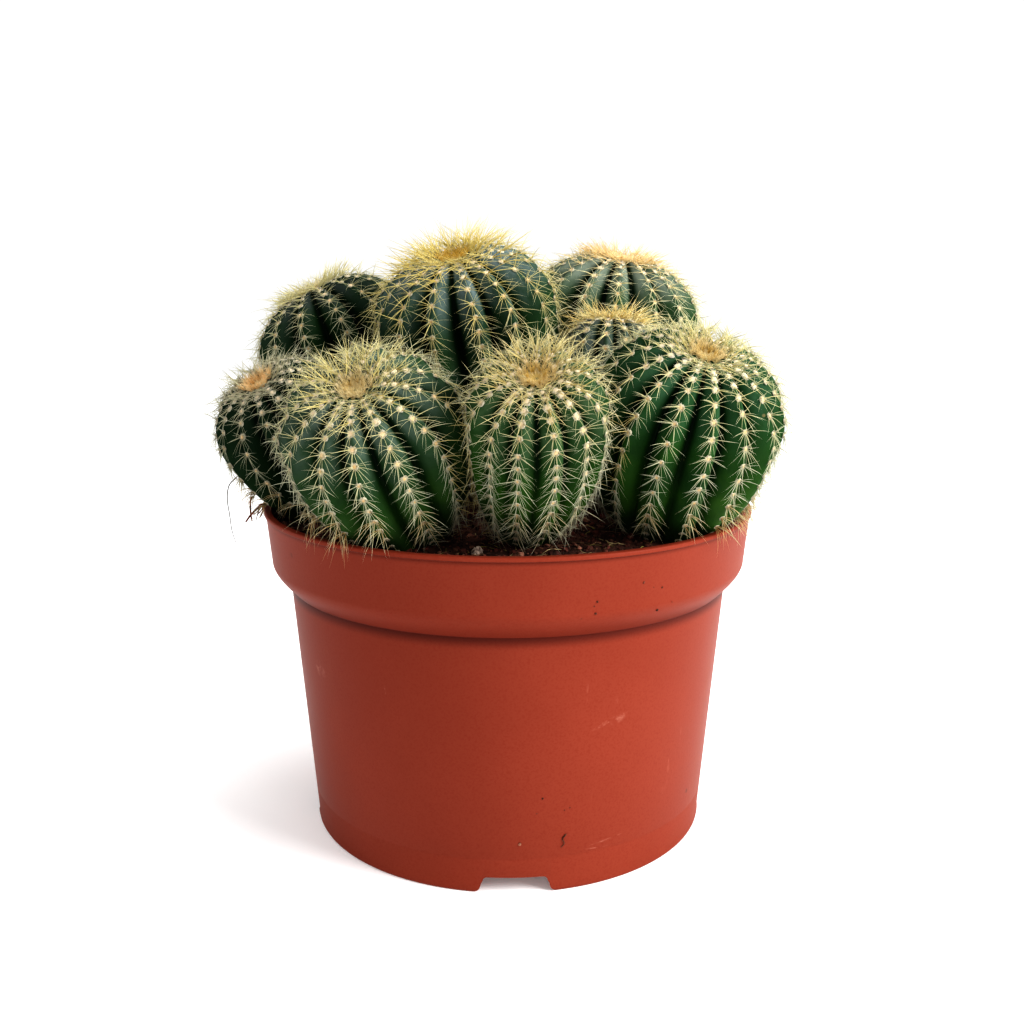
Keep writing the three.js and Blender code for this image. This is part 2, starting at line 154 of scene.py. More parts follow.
# Wool on the areoles: each ring of a cushion as lift, reach and how peach it is, and its fibres.
WOOL_SIDES = 10
WOOL_RINGS = [(0.0, 1.0, 0.0), (0.5, 0.82, 0.1), (0.75, 0.5, 0.7), (0.85, 0.24, 1.0)]
WOOL_FIBRES = 26
WOOL_FIBRE_RADIUS = 0.075 * MM

# Spines. Each kind has its number on an areole and its thickness against SPINE_THICK.
SPINE_SIDES = 4
SPINE_STEPS = 3
SPINE_LENGTH = 8.6 * MM
SPINE_THICK = 0.11 * MM
RADIAL, CENTRAL, BRUSH, HAIR = range(4)
SPINE_COUNTS = (11, 3, 3, 36)
SPINE_WIDTHS = (0.74, 1.15, 1.3, 0.5)

# name, root x y, crown x y z, bend x y in degrees, radius, cap, ribs, turn in degrees.
# The axis is an arc from root to crown that leans further by the bend. The cap is the dome's
# height over its radius.
HEADS = [
    ("head_centre", (-5.3, 25.2), (-19.1, -0.5, 201), (-6.4, -8), 31.9, 0.68, 14, 21.3),
    ("head_front", (2.5, -38.3), (8, -84.8, 167.8), (-16.9, -7.6), 20.9, 0.87, 13, 6.9),
    ("head_front_left", (-27.2, -27.7), (-44.3, -74.8, 163.5), (8.2, -2.9), 27.9, 0.77, 13, 17.7),
    ("head_front_right", (52.8, -15.3), (59.9, -59.6, 172.3), (11.5, 10.8), 30.2, 0.82, 15, 9.1),
    ("head_left", (-35.6, 3.1), (-83.9, -23.7, 160.2), (32.8, -2.8), 24.9, 0.88, 13, 21.5),
    ("head_back_left", (-51.4, 39.7), (-75.8, 45.4, 189.1), (-20.7, -17.9), 30.9, 0.69, 13, 9.7),
    ("head_back_right", (41.4, 42.9), (43.9, 48.6, 200.6), (15.3, -21), 33.3, 0.70, 15, 3.5),
    ("head_right", (34.5, -2), (36.3, 3.6, 180.3), (2.2, 10.3), 15.7, 0.85, 13, 9),
]

# How golden, how orange and how amber the crown is, how strong the bloom is, how far the golden
# spines reach down from the crown in mm, how long the spines are, the painted lighting of the spines
# and wool (below 1 for heads in shade), the painted shade on the skin, and the colour of the bloom.
LOOKS = {
    "head_centre": (1.0, 0.0, 1.0, 1.6, 22, 1.25, 0.97, 0.15, (0.185, 0.235, 0.240)),
    "head_front": (0.8, 0.15, 0.6, 0.6, 13, 1.0, 0.84, 0.0, (0.120, 0.175, 0.100)),
    "head_front_left": (0.75, 0.0, 0.3, 1.0, 14, 1.0, 0.9, 0.2, (0.150, 0.195, 0.165)),
    "head_front_right": (0.6, 0.0, 0.5, 0.9, 9, 0.84, 0.95, 0.0, (0.060, 0.128, 0.074)),
    "head_left": (0.15, 1.0, 0.1, 0.5, 7, 0.85, 0.74, 0.7, (0.075, 0.105, 0.090)),
    "head_back_left": (0.5, 0.0, 0.2, 1.2, 14, 1.0, 0.95, 0.5, (0.090, 0.110, 0.105)),
    "head_back_right": (0.9, 0.62, 0.1, 1.9, 14, 0.95, 1.12, 0.0, (0.190, 0.225, 0.180)),
    "head_right": (0.8, 0.3, 0.2, 1.4, 12, 1.15, 1.15, 0.1, (0.150, 0.180, 0.165)),
}

# Colours of the spines, from the youngest in the hollow to the oldest at the soil.
FUZZ = np.array([0.92, 0.82, 0.55])
PEACH = np.array([0.92, 0.50, 0.17])
AMBER = np.array([0.66, 0.43, 0.03])
GOLD = np.array([0.90, 0.75, 0.24])
TAN = np.array([0.92, 0.56, 0.26])
STRAW = np.array([0.76, 0.74, 0.44])
CREAM = np.array([0.66, 0.68, 0.53])
PALE = np.array([0.90, 0.93, 0.84])
HOARY = np.array([0.58, 0.57, 0.43])
OLIVE = np.array([0.74, 0.62, 0.26])
RUST = np.array([0.66, 0.34, 0.12])

# Colours of the wool and of the soil's bits.
WOOL_WHITE = np.array([0.60, 0.56, 0.43])
WOOL_PEACH = np.array([0.58, 0.37, 0.15])
WOOL_OLD = np.array([0.42, 0.33, 0.22])
CRUMB_BROWNS = np.array([(0.11, 0.034, 0.024), (0.19, 0.06, 0.042), (0.26, 0.12, 0.08), (0.05, 0.018, 0.014)])
FIBRE_BROWNS = np.array([(0.20, 0.10, 0.055), (0.34, 0.20, 0.11), (0.40, 0.34, 0.10), (0.55, 0.42, 0.22)])
STONE = [0.55, 0.42, 0.34]
DRIED_SOIL = [0.13, 0.04, 0.025]
PALE_GRAIN = (0.36, 0.16, 0.10)
RED_ROOT = np.array([0.14, 0.035, 0.02])
DARK_HAIR = np.array([0.05, 0.03, 0.025])
BROWN_FIBRE = np.array([0.11, 0.05, 0.03])


# ---------------------------------------------------------------- numbers
def smoothstep(value, low, high):
    share = np.clip((value - low) / (high - low), 0, 1)
    return share * share * (3 - 2 * share)


def unit(vectors):
    return vectors / np.maximum(np.linalg.norm(vectors, axis=-1, keepdims=True), 1e-12)


def toward(start, goal, share):
    """Colours that have gone a share of the way from the first to the second."""
    return start + (goal - start) * share[:, None]


def round_angles(sides):
    return np.arange(sides) * TAU / sides


def polar(first, second, angles):
    """Vectors that are turned by the angles from the first direction to the second."""
    return first * np.cos(angles)[:, None] + second * np.sin(angles)[:, None]


# ---------------------------------------------------------------- meshes
def ring_points(radius, height, sides):
    angles = round_angles(sides)
    return np.column_stack([radius * np.cos(angles), radius * np.sin(angles), np.full(sides, height)])


def ring_quads(rings, sides):
    """Quads between rings of points that follow each other."""
    index = np.arange(rings * sides).reshape(rings, sides)
    after = np.roll(index, -1, axis=1)
    return np.stack([index[:-1], after[:-1], after[1:], index[1:]], -1).reshape(-1, 4)


def fan(tip, ring):
    """Triangles between a tip and a ring of points."""
    return np.stack([np.full(len(ring), tip), ring, np.roll(ring, -1)], -1)


def end_faces(sides):
    """Triangles that close a ring at the start of a tube."""
    return np.array([(0, side + 1, side) for side in range(1, sides - 1)])


def closed_faces(rings, sides):
    """Triangles and quads of a closed form: a point, rings of points and a last point."""
    ring = np.arange(sides)
    last = rings * sides + 1
    return np.vstack([fan(0, 1 + ring[::-1]), fan(last, last - sides + ring)]), 1 + ring_quads(rings, sides)


def repeat_faces(faces, each, count, first=0):
    """One item's faces for many items in a row, which have the same number of points each."""
    start = first + np.arange(count) * each
    return (start[:, None, None] + faces).reshape(-1, np.shape(faces)[1])


def new_object(name, data):
    made = bpy.data.objects.new(name, data)
    bpy.context.scene.collection.objects.link(made)
    return made


def mesh_object(name, points, *parts):
    """A mesh from arrays. Each part has faces with one number of corners."""
    mesh = bpy.data.meshes.new(name)
    loops = np.concatenate([part.ravel() for part in parts]).astype(np.int32)
    sizes = np.concatenate([np.full(len(part), part.shape[1]) for part in parts])
    mesh.vertices.add(len(points))
    mesh.vertices.foreach_set("co", np.asarray(points, np.float32).ravel())
    mesh.loops.add(len(loops))
    mesh.loops.foreach_set("vertex_index", loops)
    mesh.polygons.add(len(sizes))
    mesh.polygons.foreach_set("loop_start", (np.cumsum(sizes) - sizes).astype(np.int32))
    mesh.update(calc_edges=True)
    mesh.validate()
    mesh.shade_smooth()
    return new_object(name, mesh)


def add_value(piece, name, values):
    attribute = piece.data.attributes.new(name, "FLOAT", "POINT")
    attribute.data.foreach_set("value", np.asarray(values, np.float32))


def add_color(piece, name, colors):
    attribute = piece.data.attributes.new(name, "FLOAT_COLOR", "POINT")
    rgba = np.column_stack([colors, np.ones(len(colors))]).astype(np.float32)
    attribute.data.foreach_set("color", rgba.ravel())


def dress(piece, material, node):
    piece.data.materials.clear()
    piece.data.materials.append(material)
    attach(piece, "root")
    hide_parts(node)


# ---------------------------------------------------------------- camera, light and floor
def make_camera():
    data = bpy.data.cameras.new("camera")
    data.lens = CAMERA_LENS
    data.sensor_width = CAMERA_SENSOR
    data.clip_start = 0.01
    camera = new_object("camera", data)
    camera.location = CAMERA_PLACE
    camera.rotation_euler = (math.pi / 2 - CAMERA_PITCH, 0, 0)
    bpy.context.scene.camera = camera


def make_lamp(name, place, power):
    data = bpy.data.lights.new(name, "AREA")
    data.shape = "DISK"
    data.size = LAMP_SIZE
    data.energy = power
    lamp = new_object(name, data)
    lamp.location = place
    lamp.rotation_euler = (Vector(LAMP_TARGET) - Vector(place)).to_track_quat("-Z", "Y").to_euler()


def make_studio():
    scene = bpy.context.scene
    scene.view_settings.view_transform = "Standard"
    scene.view_settings.look = "High Contrast"
    world = bpy.data.worlds.new("studio")
    world.use_nodes = True
    background = world.node_tree.nodes["Background"]
    background.inputs["Color"].default_value = (1, 1, 1, 1)
    background.inputs["Strength"].default_value = WORLD_LIGHT
    scene.world = world
    for name, (place, power) in LAMPS.items():
        make_lamp(name, place, power)
    floor = mesh_object("floor", ring_points(FLOOR_RADIUS, 0, FLOOR_SIDES), np.arange(FLOOR_SIDES)[None])
    floor.data.materials.append(floor_material())


# ---------------------------------------------------------------- materials
class Nodes:
    """Short names for building a material's node tree."""

    def __init__(self, name):
        self.material = bpy.data.materials.new(name)
        self.material.use_nodes = True
        self.tree = self.material.node_tree
        self.shader = self.tree.nodes["Principled BSDF"]
        self.place = self.add("TexCoord", "Object", {})

    def feed(self, socket, source):
        """Gives a socket a number, a vector or a colour, or links an output to it."""
        if isinstance(source, (int, float)):
            socket.default_value = source
        elif isinstance(source, tuple):
            socket.default_value = (*source, 1)[: len(socket.default_value)]
        else:
            self.tree.links.new(source, socket)

    def add(self, kind, output, inputs, **settings):
        """Adds a node with its settings and inputs, and returns one of its outputs."""
        node = self.tree.nodes.new("ShaderNode" + kind)
        for key, value in settings.items():
            setattr(node, key, value)
        for key, source in inputs.items():
            self.feed(node.inputs[key], source)
        return node.outputs[output]

    def noise(self, scale, detail=4, roughness=0.55, stretch=None):
        place = self.place
        if stretch:
            place = self.add("Mapping", "Vector", {"Vector": place, "Scale": stretch})
        inputs = {"Vector": place, "Scale": scale, "Detail": detail, "Roughness": roughness}
        return self.add("TexNoise", "Fac", inputs)

    def level(self):
        return self.add("SeparateXYZ", "Z", {"Vector": self.place})

    def spot(self, centre, tilt, sizes):
        """A soft ellipsoid, 1 in the middle and 0 outside. Centre and half sizes in mm, tilt in degrees."""
        inputs = {"Vector": self.place, "Rotation": (0, math.radians(tilt), 0)}
        inputs["Location"] = tuple(number * MM for number in centre)
        inputs["Scale"] = tuple(number * MM for number in sizes)
        place = self.add("Mapping", "Vector", inputs, vector_type="TEXTURE")
        length = self.add("VectorMath", "Value", {0: place}, operation="LENGTH")
        return self.ramp(length, 0.2, 1.0, 1, 0)

    def dots(self, scale):
        return self.add("TexVoronoi", "Distance", {"Vector": self.place, "Scale": scale})

    def value(self, name):
        return self.add("Attribute", "Fac", {}, attribute_name=name)

    def color(self, name):
        return self.add("Attribute", "Color", {}, attribute_name=name)

    def ramp(self, source, low, high, bottom=0.0, top=1.0):
        inputs = {"Value": source, "From Min": low, "From Max": high, "To Min": bottom, "To Max": top}
        return self.add("MapRange", "Result", inputs, interpolation_type="SMOOTHSTEP")

    def plus(self, first, second):
        return self.add("Math", "Value", {0: first, 1: second}, operation="ADD")

    def times(self, first, second):
        return self.add("Math", "Value", {0: first, 1: second}, operation="MULTIPLY")

    def mix(self, share, first, second):
        # The colour sockets of this node share their names with others, so they go by number.
        return self.add("Mix", 2, {0: share, 6: first, 7: second}, data_type="RGBA")

    def bump(self, height, depth, strength):
        """Bumps up to a depth in mm."""
        inputs = {"Height": height, "Distance": depth * MM, "Strength": strength}
        self.feed(self.shader.inputs["Normal"], self.add("Bump", "Normal", inputs))

    def let_through(self, color, share):
        """Light also passes through, as it does through thin spines and hairs."""
        through = self.add("BsdfTranslucent", "BSDF", {"Color": color})
        mixed = self.add("MixShader", "Shader", {0: share, 1: self.shader.outputs["BSDF"], 2: through})
        self.feed(self.tree.nodes["Material Output"].inputs["Surface"], mixed)

    def finish(self, color, roughness, **others):
        inputs = {"Base Color": color, "Roughness": roughness, **others}
        for key, source in inputs.items():
            self.feed(self.shader.inputs[key.replace("_", " ")], source)
        return self.material


def floor_material():
    n = Nodes("floor")
    tone = n.mix(n.noise(3), (0.9, 0.9, 0.9), (0.93, 0.93, 0.93))
    return n.finish(tone, 0.9, Emission_Color=(1, 1, 1), Emission_Strength=0.12)


def pot_material():
    n = Nodes("clay_plastic")
    cloud = n.noise(9, 5)
    base = n.mix(n.ramp(cloud, 0.35, 0.7), (0.203, 0.038, 0.020), (0.232, 0.046, 0.025))
    base = n.mix(n.ramp(n.noise(1500, 3), 0.42, 0.72, 0, 0.3), base, (0.17, 0.018, 0.008))
    # Pale scuffs are short upright streaks in a few patches only.
    streak = n.ramp(n.noise(60, 3, 0.6, (4, 4, 0.9)), 0.62, 0.72)
    scuff = n.times(n.ramp(n.noise(16, 2), 0.6, 0.72), streak)
    base = n.mix(n.times(scuff, 0.4), base, (0.6, 0.3, 0.22))
    # Specks of dried soil.
    speck = n.times(n.ramp(n.dots(150), 0.1, 0.16, 1, 0), n.ramp(n.noise(24, 3), 0.64, 0.7))
    base = n.mix(n.times(speck, 0.6), base, (0.06, 0.022, 0.014))
    # Longer scuffs and scratches.
    grain = n.ramp(n.noise(340, 4, 0.7), 0.42, 0.66, 0.0, 0.34)
    for centre, tilt, sizes in SCUFFS:
        base = n.mix(n.times(n.spot(centre, tilt, sizes), grain), base, (0.5, 0.24, 0.18))
    # Painted shade: the pot is darkened in the creases under the collar and under the lip, where shade falls.
    level = n.level()
    for edge, reach, share in ((COLLAR_BOTTOM, 4.2 * MM, 0.72), (LIP_BASE, 1.5 * MM, 0.4)):
        below = n.ramp(level, edge - reach, edge, 0, share)
        crease_shade = n.times(below, n.ramp(level, edge + 0.1 * MM, edge + 0.5 * MM, 1, 0))
        base = n.mix(crease_shade, base, (0.035, 0.005, 0.004))
    # Painted shade: the underside of the collar's curve is a little darker too.
    under = n.ramp(level, COLLAR_BOTTOM, COLLAR_BOTTOM + 6 * MM, 0.35, 0)
    under = n.times(under, n.ramp(level, COLLAR_BOTTOM - 0.1 * MM, COLLAR_BOTTOM))
    base = n.mix(under, base, (0.1, 0.014, 0.008))
    n.bump(n.noise(900, 2), 0.06, 0.35)
    rough = n.plus(n.ramp(cloud, 0.3, 0.7, 0.4, 0.5), n.times(scuff, 0.15))
    return n.finish(base, rough, Specular_IOR_Level=0.07)


def soil_material():
    n = Nodes("soil")
    base = n.mix(n.ramp(n.noise(120, 6), 0.3, 0.7), (0.026, 0.010, 0.007), (0.11, 0.046, 0.032))
    base = n.mix(n.ramp(n.noise(600, 3), 0.55, 0.75, 0, 0.6), base, (0.16, 0.085, 0.055))
    n.bump(n.noise(900, 5), 0.6, 0.8)
    return n.finish(base, 0.95, Specular_IOR_Level=0.2)


def crumb_material():
    n = Nodes("soil_crumbs")
    base = n.mix(n.ramp(n.noise(500, 3), 0.35, 0.75), n.color("tint"), (0.02, 0.01, 0.006))
    n.bump(n.noise(1800, 3), 0.3, 0.7)
    return n.finish(base, 0.9, Specular_IOR_Level=0.25)


def skin_material():
    """Green flesh with a blue-grey bloom on the young flanks, cork at the base, gold in the hollow."""
    n = Nodes("cactus_skin")
    cloud = n.noise(70, 5)
    fine = n.noise(420, 4)
    young = n.mix(cloud, (0.008, 0.040, 0.008), (0.016, 0.064, 0.011))
    old = n.mix(cloud, (0.017, 0.064, 0.006), (0.05, 0.115, 0.013))
    base = n.mix(n.ramp(n.value("age"), 0.25, 0.8), young, old)
    base = n.mix(n.ramp(n.noise(38, 4, 0.6), 0.42, 0.66, 0, 0.55), base, (0.004, 0.02, 0.008))
    bloom = n.times(n.value("bloom"), n.ramp(n.noise(110, 5, 0.6), 0.3, 0.62, 0.35, 1))
    base = n.mix(bloom, base, n.color("dust"))
    base = n.mix(n.ramp(fine, 0.5, 0.8, 0, 0.3), base, (0.03, 0.075, 0.02))
    # Painted shade: heads that stand in shade get a darker skin.
    base = n.mix(n.value("dark"), base, (0.001, 0.006, 0.002))
    # Painted shade: the furrows are darkened, most in the upper part where they are deepest.
    base = n.mix(n.times(n.value("furrow"), 0.92), base, (0.001, 0.005, 0.002))
    # Small corky scars.
    scar = n.times(n.ramp(n.dots(190), 0.09, 0.14, 1, 0), n.ramp(n.noise(60, 2), 0.62, 0.68))
    base = n.mix(n.times(scar, 0.7), base, (0.33, 0.24, 0.12))
    base = n.mix(n.value("cork"), base, n.mix(fine, (0.10, 0.055, 0.025), (0.24, 0.15, 0.08)))
    base = n.mix(n.value("gold"), base, n.mix(n.value("amber"), (0.62, 0.52, 0.30), (0.42, 0.27, 0.03)))
    n.bump(n.noise(1400, 3), 0.12, 0.5)
    return n.finish(base, n.ramp(fine, 0.2, 0.8, 0.42, 0.6), Specular_IOR_Level=0.05)


def wool_material():
    n = Nodes("areole_wool")
    base = n.mix(n.ramp(n.noise(1500, 3), 0.3, 0.7, 0, 0.3), n.color("tint"), (0.72, 0.64, 0.5))
    n.bump(n.noise(2600, 3), 0.2, 0.8)
    return n.finish(base, 0.9, Sheen_Weight=0.25, Specular_IOR_Level=0.15)


def spine_material():
    """Light scatters on among the close hairs of the hollow, which the glow stands for."""
    n = Nodes("spines")
    base = n.mix(n.ramp(n.noise(700, 2), 0.3, 0.7, 0, 0.25), n.color("tint"), (0.55, 0.40, 0.16))
    n.let_through(base, 0.25)
    return n.finish(base, 0.42, Specular_IOR_Level=0.4, Emission_Color=n.color("glow"), Emission_Strength=1)


# ---------------------------------------------------------------- pot
def pot_body_radius(height):
    return FOOT_RADIUS + (BODY_TOP_RADIUS - FOOT_RADIUS) * height / COLLAR_BOTTOM


def collar_radius(height):
    """The collar's radius above its curve."""
    share = (height - COLLAR_CURVE_TOP) / (LIP_BASE - COLLAR_CURVE_TOP)
    return COLLAR_LOW_RADIUS + (COLLAR_TOP_RADIUS - COLLAR_LOW_RADIUS) * share


def collar_curve(inset, steps=14):
    """Radii and heights up the rounded underside of the collar."""
    curve = []
    for step in range(steps + 1):
        angle = math.pi / 2 * step / steps
        radius = BODY_TOP_RADIUS - inset + (COLLAR_LOW_RADIUS - BODY_TOP_RADIUS) * math.sin(angle)
        curve.append((radius, COLLAR_BOTTOM + COLLAR_CURVE_HEIGHT * math.sqrt(1 - math.cos(angle))))
    return curve


def pot_surface(angle, height, lift=0.0):
    """The place on the pot's outside at an angle from its front toward +X, in degrees."""
    if height < COLLAR_BOTTOM:
        radius = pot_body_radius(height)
    elif height < COLLAR_CURVE_TOP:
        level = 1 - ((height - COLLAR_BOTTOM) / COLLAR_CURVE_HEIGHT) ** 2
        radius = BODY_TOP_RADIUS + (COLLAR_LOW_RADIUS - BODY_TOP_RADIUS) * math.sqrt(1 - level**2)
    else:
        radius = collar_radius(height)
    turn = math.radians(angle)
    return np.array([(radius + lift) * math.sin(turn), -(radius + lift) * math.cos(turn), height])


def arc(centre, radius, start, end, steps=5):
    angles = [math.radians(start + (end - start) * step / steps) for step in range(steps + 1)]
    return [(centre[0] + radius * math.cos(a), centre[1] + radius * math.sin(a)) for a in angles]


def pot_profile():
    """Radii and heights from the middle of the underside, over the lip, to the middle of the floor."""
    line = RING_LINE_HEIGHT
    body = [(1.3 * MM, FOOT_BEAD), (1.9 * MM, 0)]
    body += [(line - 0.5 * MM, 0), (line, -RING_LINE_DEPTH), (line + 0.5 * MM, 0)]
    body += [(COLLAR_BOTTOM - 1 * MM, 0)]
    outside = [(0, 0)]
    outside += arc((FOOT_RADIUS - FOOT_BEVEL + FOOT_BEAD, FOOT_BEVEL), FOOT_BEVEL, -90, 0)
    outside += [(pot_body_radius(height) + step, height) for height, step in body]
    outside += collar_curve(0)
    outside += [(COLLAR_TOP_RADIUS, LIP_BASE - 0.3 * MM), (COLLAR_TOP_RADIUS + 0.1 * MM, LIP_BASE)]
    outside += arc((LIP_RADIUS - 0.3 * MM, LIP_BASE + 0.4 * MM), 0.3 * MM, -90, 0)
    outside += arc((LIP_RADIUS - LIP_BEVEL, POT_HEIGHT - LIP_BEVEL), LIP_BEVEL, 0, 90)
    inside = arc((LIP_RADIUS - WALL - 0.2 * MM, POT_HEIGHT - 0.5 * MM), 0.5 * MM, 90, 180)
    inside += [(COLLAR_TOP_RADIUS - WALL, LIP_BASE)]
    inside += collar_curve(WALL)[::-1]
    inside += [(pot_body_radius(FLOOR) - WALL, FLOOR), (0, FLOOR)]
    return outside + inside


def turned(name, profile, sides):
    """A closed solid of revolution, with single points on the axis at both ends of the profile."""
    rings = [ring_points(radius, height, sides) for radius, height in profile[1:-1]]
    points = np.vstack([[(0, 0, profile[0][1])], *rings, [(0, 0, profile[-1][1])]])
    return mesh_object(name, points, *closed_faces(len(rings), sides))


def channel_tool(turn, inner, outer, bottom, extra=0.0, flare=0.0, inset=0.0):
    """A tunnel-shaped bar that runs outward along the pot's floor. A flare rounds the foot beside it."""
    half = CHANNEL_WIDTH / 2 + extra
    top = CHANNEL_HEIGHT + extra
    right = [(half + flare, bottom)]
    if flare:
        right += arc((half + flare, flare), flare, 270, 180, 8)
    right += arc((half - inset - CHANNEL_CORNER, top - CHANNEL_CORNER), CHANNEL_CORNER, 0, 90)
    across, height = np.array(right + [(-x, z) for x, z in right[::-1]]).T
    ends = []
    for distance in (inner, outer):
        x = across * math.cos(turn) + distance * math.sin(turn)
        y = across * math.sin(turn) - distance * math.cos(turn)
        ends.append(np.column_stack([x, y, height]))
    count = len(across)
    caps = np.stack([np.arange(count)[::-1], np.arange(count, 2 * count)])
    tool = mesh_object("channel", np.vstack(ends), caps, ring_quads(2, count))
    normals = bmesh.new()
    normals.from_mesh(tool.data)
    bmesh.ops.recalc_face_normals(normals, faces=normals.faces)
    normals.to_mesh(tool.data)
    normals.free()
    return tool


def apply_boolean(piece, tool, operation):
    modifier = piece.modifiers.new("cut", "BOOLEAN")
    modifier.operation = operation
    modifier.object = tool
    modifier.solver = "EXACT"
    evaluated = piece.evaluated_get(bpy.context.evaluated_depsgraph_get())
    mesh = bpy.data.meshes.new_from_object(evaluated)
    piece.modifiers.clear()
    piece.data = mesh
    bpy.data.objects.remove(tool)


def make_pot():
    pot = turned("pot_shell", pot_profile(), POT_SIDES)
    for index in range(CHANNEL_COUNT):
        turn = index / CHANNEL_COUNT * TAU + POT_TURN
        inner, outer = CHANNEL_INNER_RADIUS - COVER_WALL, FOOT_RADIUS - COVER_WALL
        apply_boolean(pot, channel_tool(turn, inner, outer, COVER_BOTTOM, COVER_WALL), "UNION")
        inner, outer = CHANNEL_INNER_RADIUS, FOOT_RADIUS + 9 * MM
        channel = channel_tool(turn, inner, outer, -2 * MM, 0.0, CHANNEL_FLARE, CHANNEL_INSET)
        apply_boolean(pot, channel, "DIFFERENCE")
        hole = [(0, -5 * MM), (DRAIN_RADIUS, -5 * MM), (DRAIN_RADIUS, 9 * MM), (0, 9 * MM)]
        drain = turned("drain", hole, DRAIN_SIDES)
        drain.location = (DRAIN_AT * math.sin(turn), -DRAIN_AT * math.cos(turn), 0)
        bpy.context.view_layer.update()
        apply_boolean(pot, drain, "DIFFERENCE")
    pot.data.shade_smooth()
    pot.data.set_sharp_from_angle(angle=math.radians(38))
    dress(pot, pot_material(), "pot")


# ---------------------------------------------------------------- heads: shape
class Head:
    """One head: a surface of revolution with ribs, bent so that its axis is an arc."""

    def __init__(self, spec, index):
        self.name, root, crown, bend, radius, self.cap, self.ribs, turn = spec
        self.golden, self.orange, self.amber, self.pale, self.brush = LOOKS[self.name][:5]
        self.reach, self.light, self.dark, self.dust = LOOKS[self.name][5:]
        self.root = np.array([root[0] * MM, root[1] * MM, ROOT_LEVEL])
        crown = np.array(crown) * MM
        self.length = float(np.linalg.norm(crown - self.root))
        axis = (crown - self.root) / self.length
        self.radius = radius * MM
        self.turn = math.radians(turn)
        self.random = np.random.default_rng(100 + index)
        self.matrix = np.array(Vector((0, 0, 1)).rotation_difference(Vector(axis)).to_matrix())
        self.bend = math.radians(math.hypot(*bend))
        lean = (np.array([bend[0], bend[1], 0.0]) @ self.matrix)[:2]
        self.lean = lean / np.linalg.norm(lean)
        self.bend_radius = self.length / 2 / math.sin(self.bend / 2)
        self.sway = self.random.uniform(-0.07, 0.07, self.ribs)
        self.up = self.matrix @ np.array([*(self.lean * math.sin(self.bend / 2)), math.cos(self.bend / 2)])
        self.measure()

    def crest_radius(self, height):
        cap = self.cap * self.radius
        widest = self.length - cap
        over = np.clip((height - widest) / cap, 0, 1)
        under = np.clip((widest - height) / widest, 0, 1)
        top = self.radius * np.sqrt(1 - over**2)
        bottom = self.radius * (1 - under**TAPER_CURVE) ** TAPER_POWER
        return np.where(height >= widest, top, bottom)

    def measure(self):
        """Radius and height over the crests, against the distance along the skin from the root."""
        heights = self.length * (1 - np.cos(np.linspace(0, math.pi, 1200))) / 2
        self.radii = self.crest_radius(heights)
        sunk = HOLLOW_DEPTH * np.exp(-((self.radii / HOLLOW_WIDTH) ** 2))
        self.heights = heights - np.where(heights > self.length / 2, sunk, 0)
        steps = np.hypot(np.diff(self.heights), np.diff(self.radii))
        self.along = np.concatenate([[0], np.cumsum(steps)])
        self.total = float(self.along[-1])

    def place(self, radius, angle, height):
        """World points for cylindrical places about the straight axis."""
        x, y = radius * np.cos(angle), radius * np.sin(angle)
        along = x * self.lean[0] + y * self.lean[1]
        across = y * self.lean[0] - x * self.lean[1]
        turn = self.bend * (height / self.length - 0.5)
        reach = self.bend_radius - along
        moved = self.bend_radius * math.cos(self.bend / 2) - reach * np.cos(turn)
        lifted = self.bend_radius * math.sin(self.bend / 2) + reach * np.sin(turn)
        x = moved * self.lean[0] - across * self.lean[1]
        y = moved * self.lean[1] + across * self.lean[0]
        return np.stack([x, y, lifted], -1) @ self.matrix.T + self.root

    def skin(self, along, rib):
        """Radius, angle and height on the skin. A whole rib number is a crest, and a half is a furrow."""
        radius = np.interp(along, self.along, self.radii)
        height = np.interp(along, self.along, self.heights)
        aside = 2 * np.abs(rib - np.round(rib))
        upper = smoothstep(height / self.length, 0.25, 0.75)
        depth = self.radius * (0.07 + 0.19 * upper) * smoothstep(height, BURIED - 4 * MM, BURIED + 16 * MM)
        depth = np.minimum(depth, 0.46 * radius)
        curve = 2.3 - 0.9 * upper
        sway = np.interp(np.mod(rib, self.ribs), np.arange(self.ribs + 1), np.append(self.sway, self.sway[0]))
        angle = self.turn + TAU * (rib + sway * upper) / self.ribs
        return radius - depth * aside**curve, angle, height

    def holds(self, points, margin):
        """True for world points inside the head's surface of revolution, grown by the margin."""
        local = (points - self.root) @ self.matrix
        centre = self.bend_radius * np.array([math.cos(self.bend / 2), math.sin(self.bend / 2)])
        along = local[..., 0] * self.lean[0] + local[..., 1] * self.lean[1] - centre[0]
        across = local[..., 1] * self.lean[0] - local[..., 0] * self.lean[1]
        up = local[..., 2] - centre[1]
        height = self.length * (np.arctan2(up, -along) / self.bend + 0.5)
        aside = np.hypot(self.bend_radius - np.hypot(along, up), across)
        near = (height > -margin) & (height < self.length + margin)
        return near & (aside < self.crest_radius(np.clip(height, 0, self.length)) + margin)

    def meets(self, points, margin):
        """True for world points inside another head, grown by the margin."""
        return np.any([other.holds(points, margin) for other in self.others], axis=0)


def make_heads():
    heads = [Head(spec, index) for index, spec in enumerate(HEADS)]
    for head in heads:
        head.others = [other for other in heads if other is not head]
    return heads


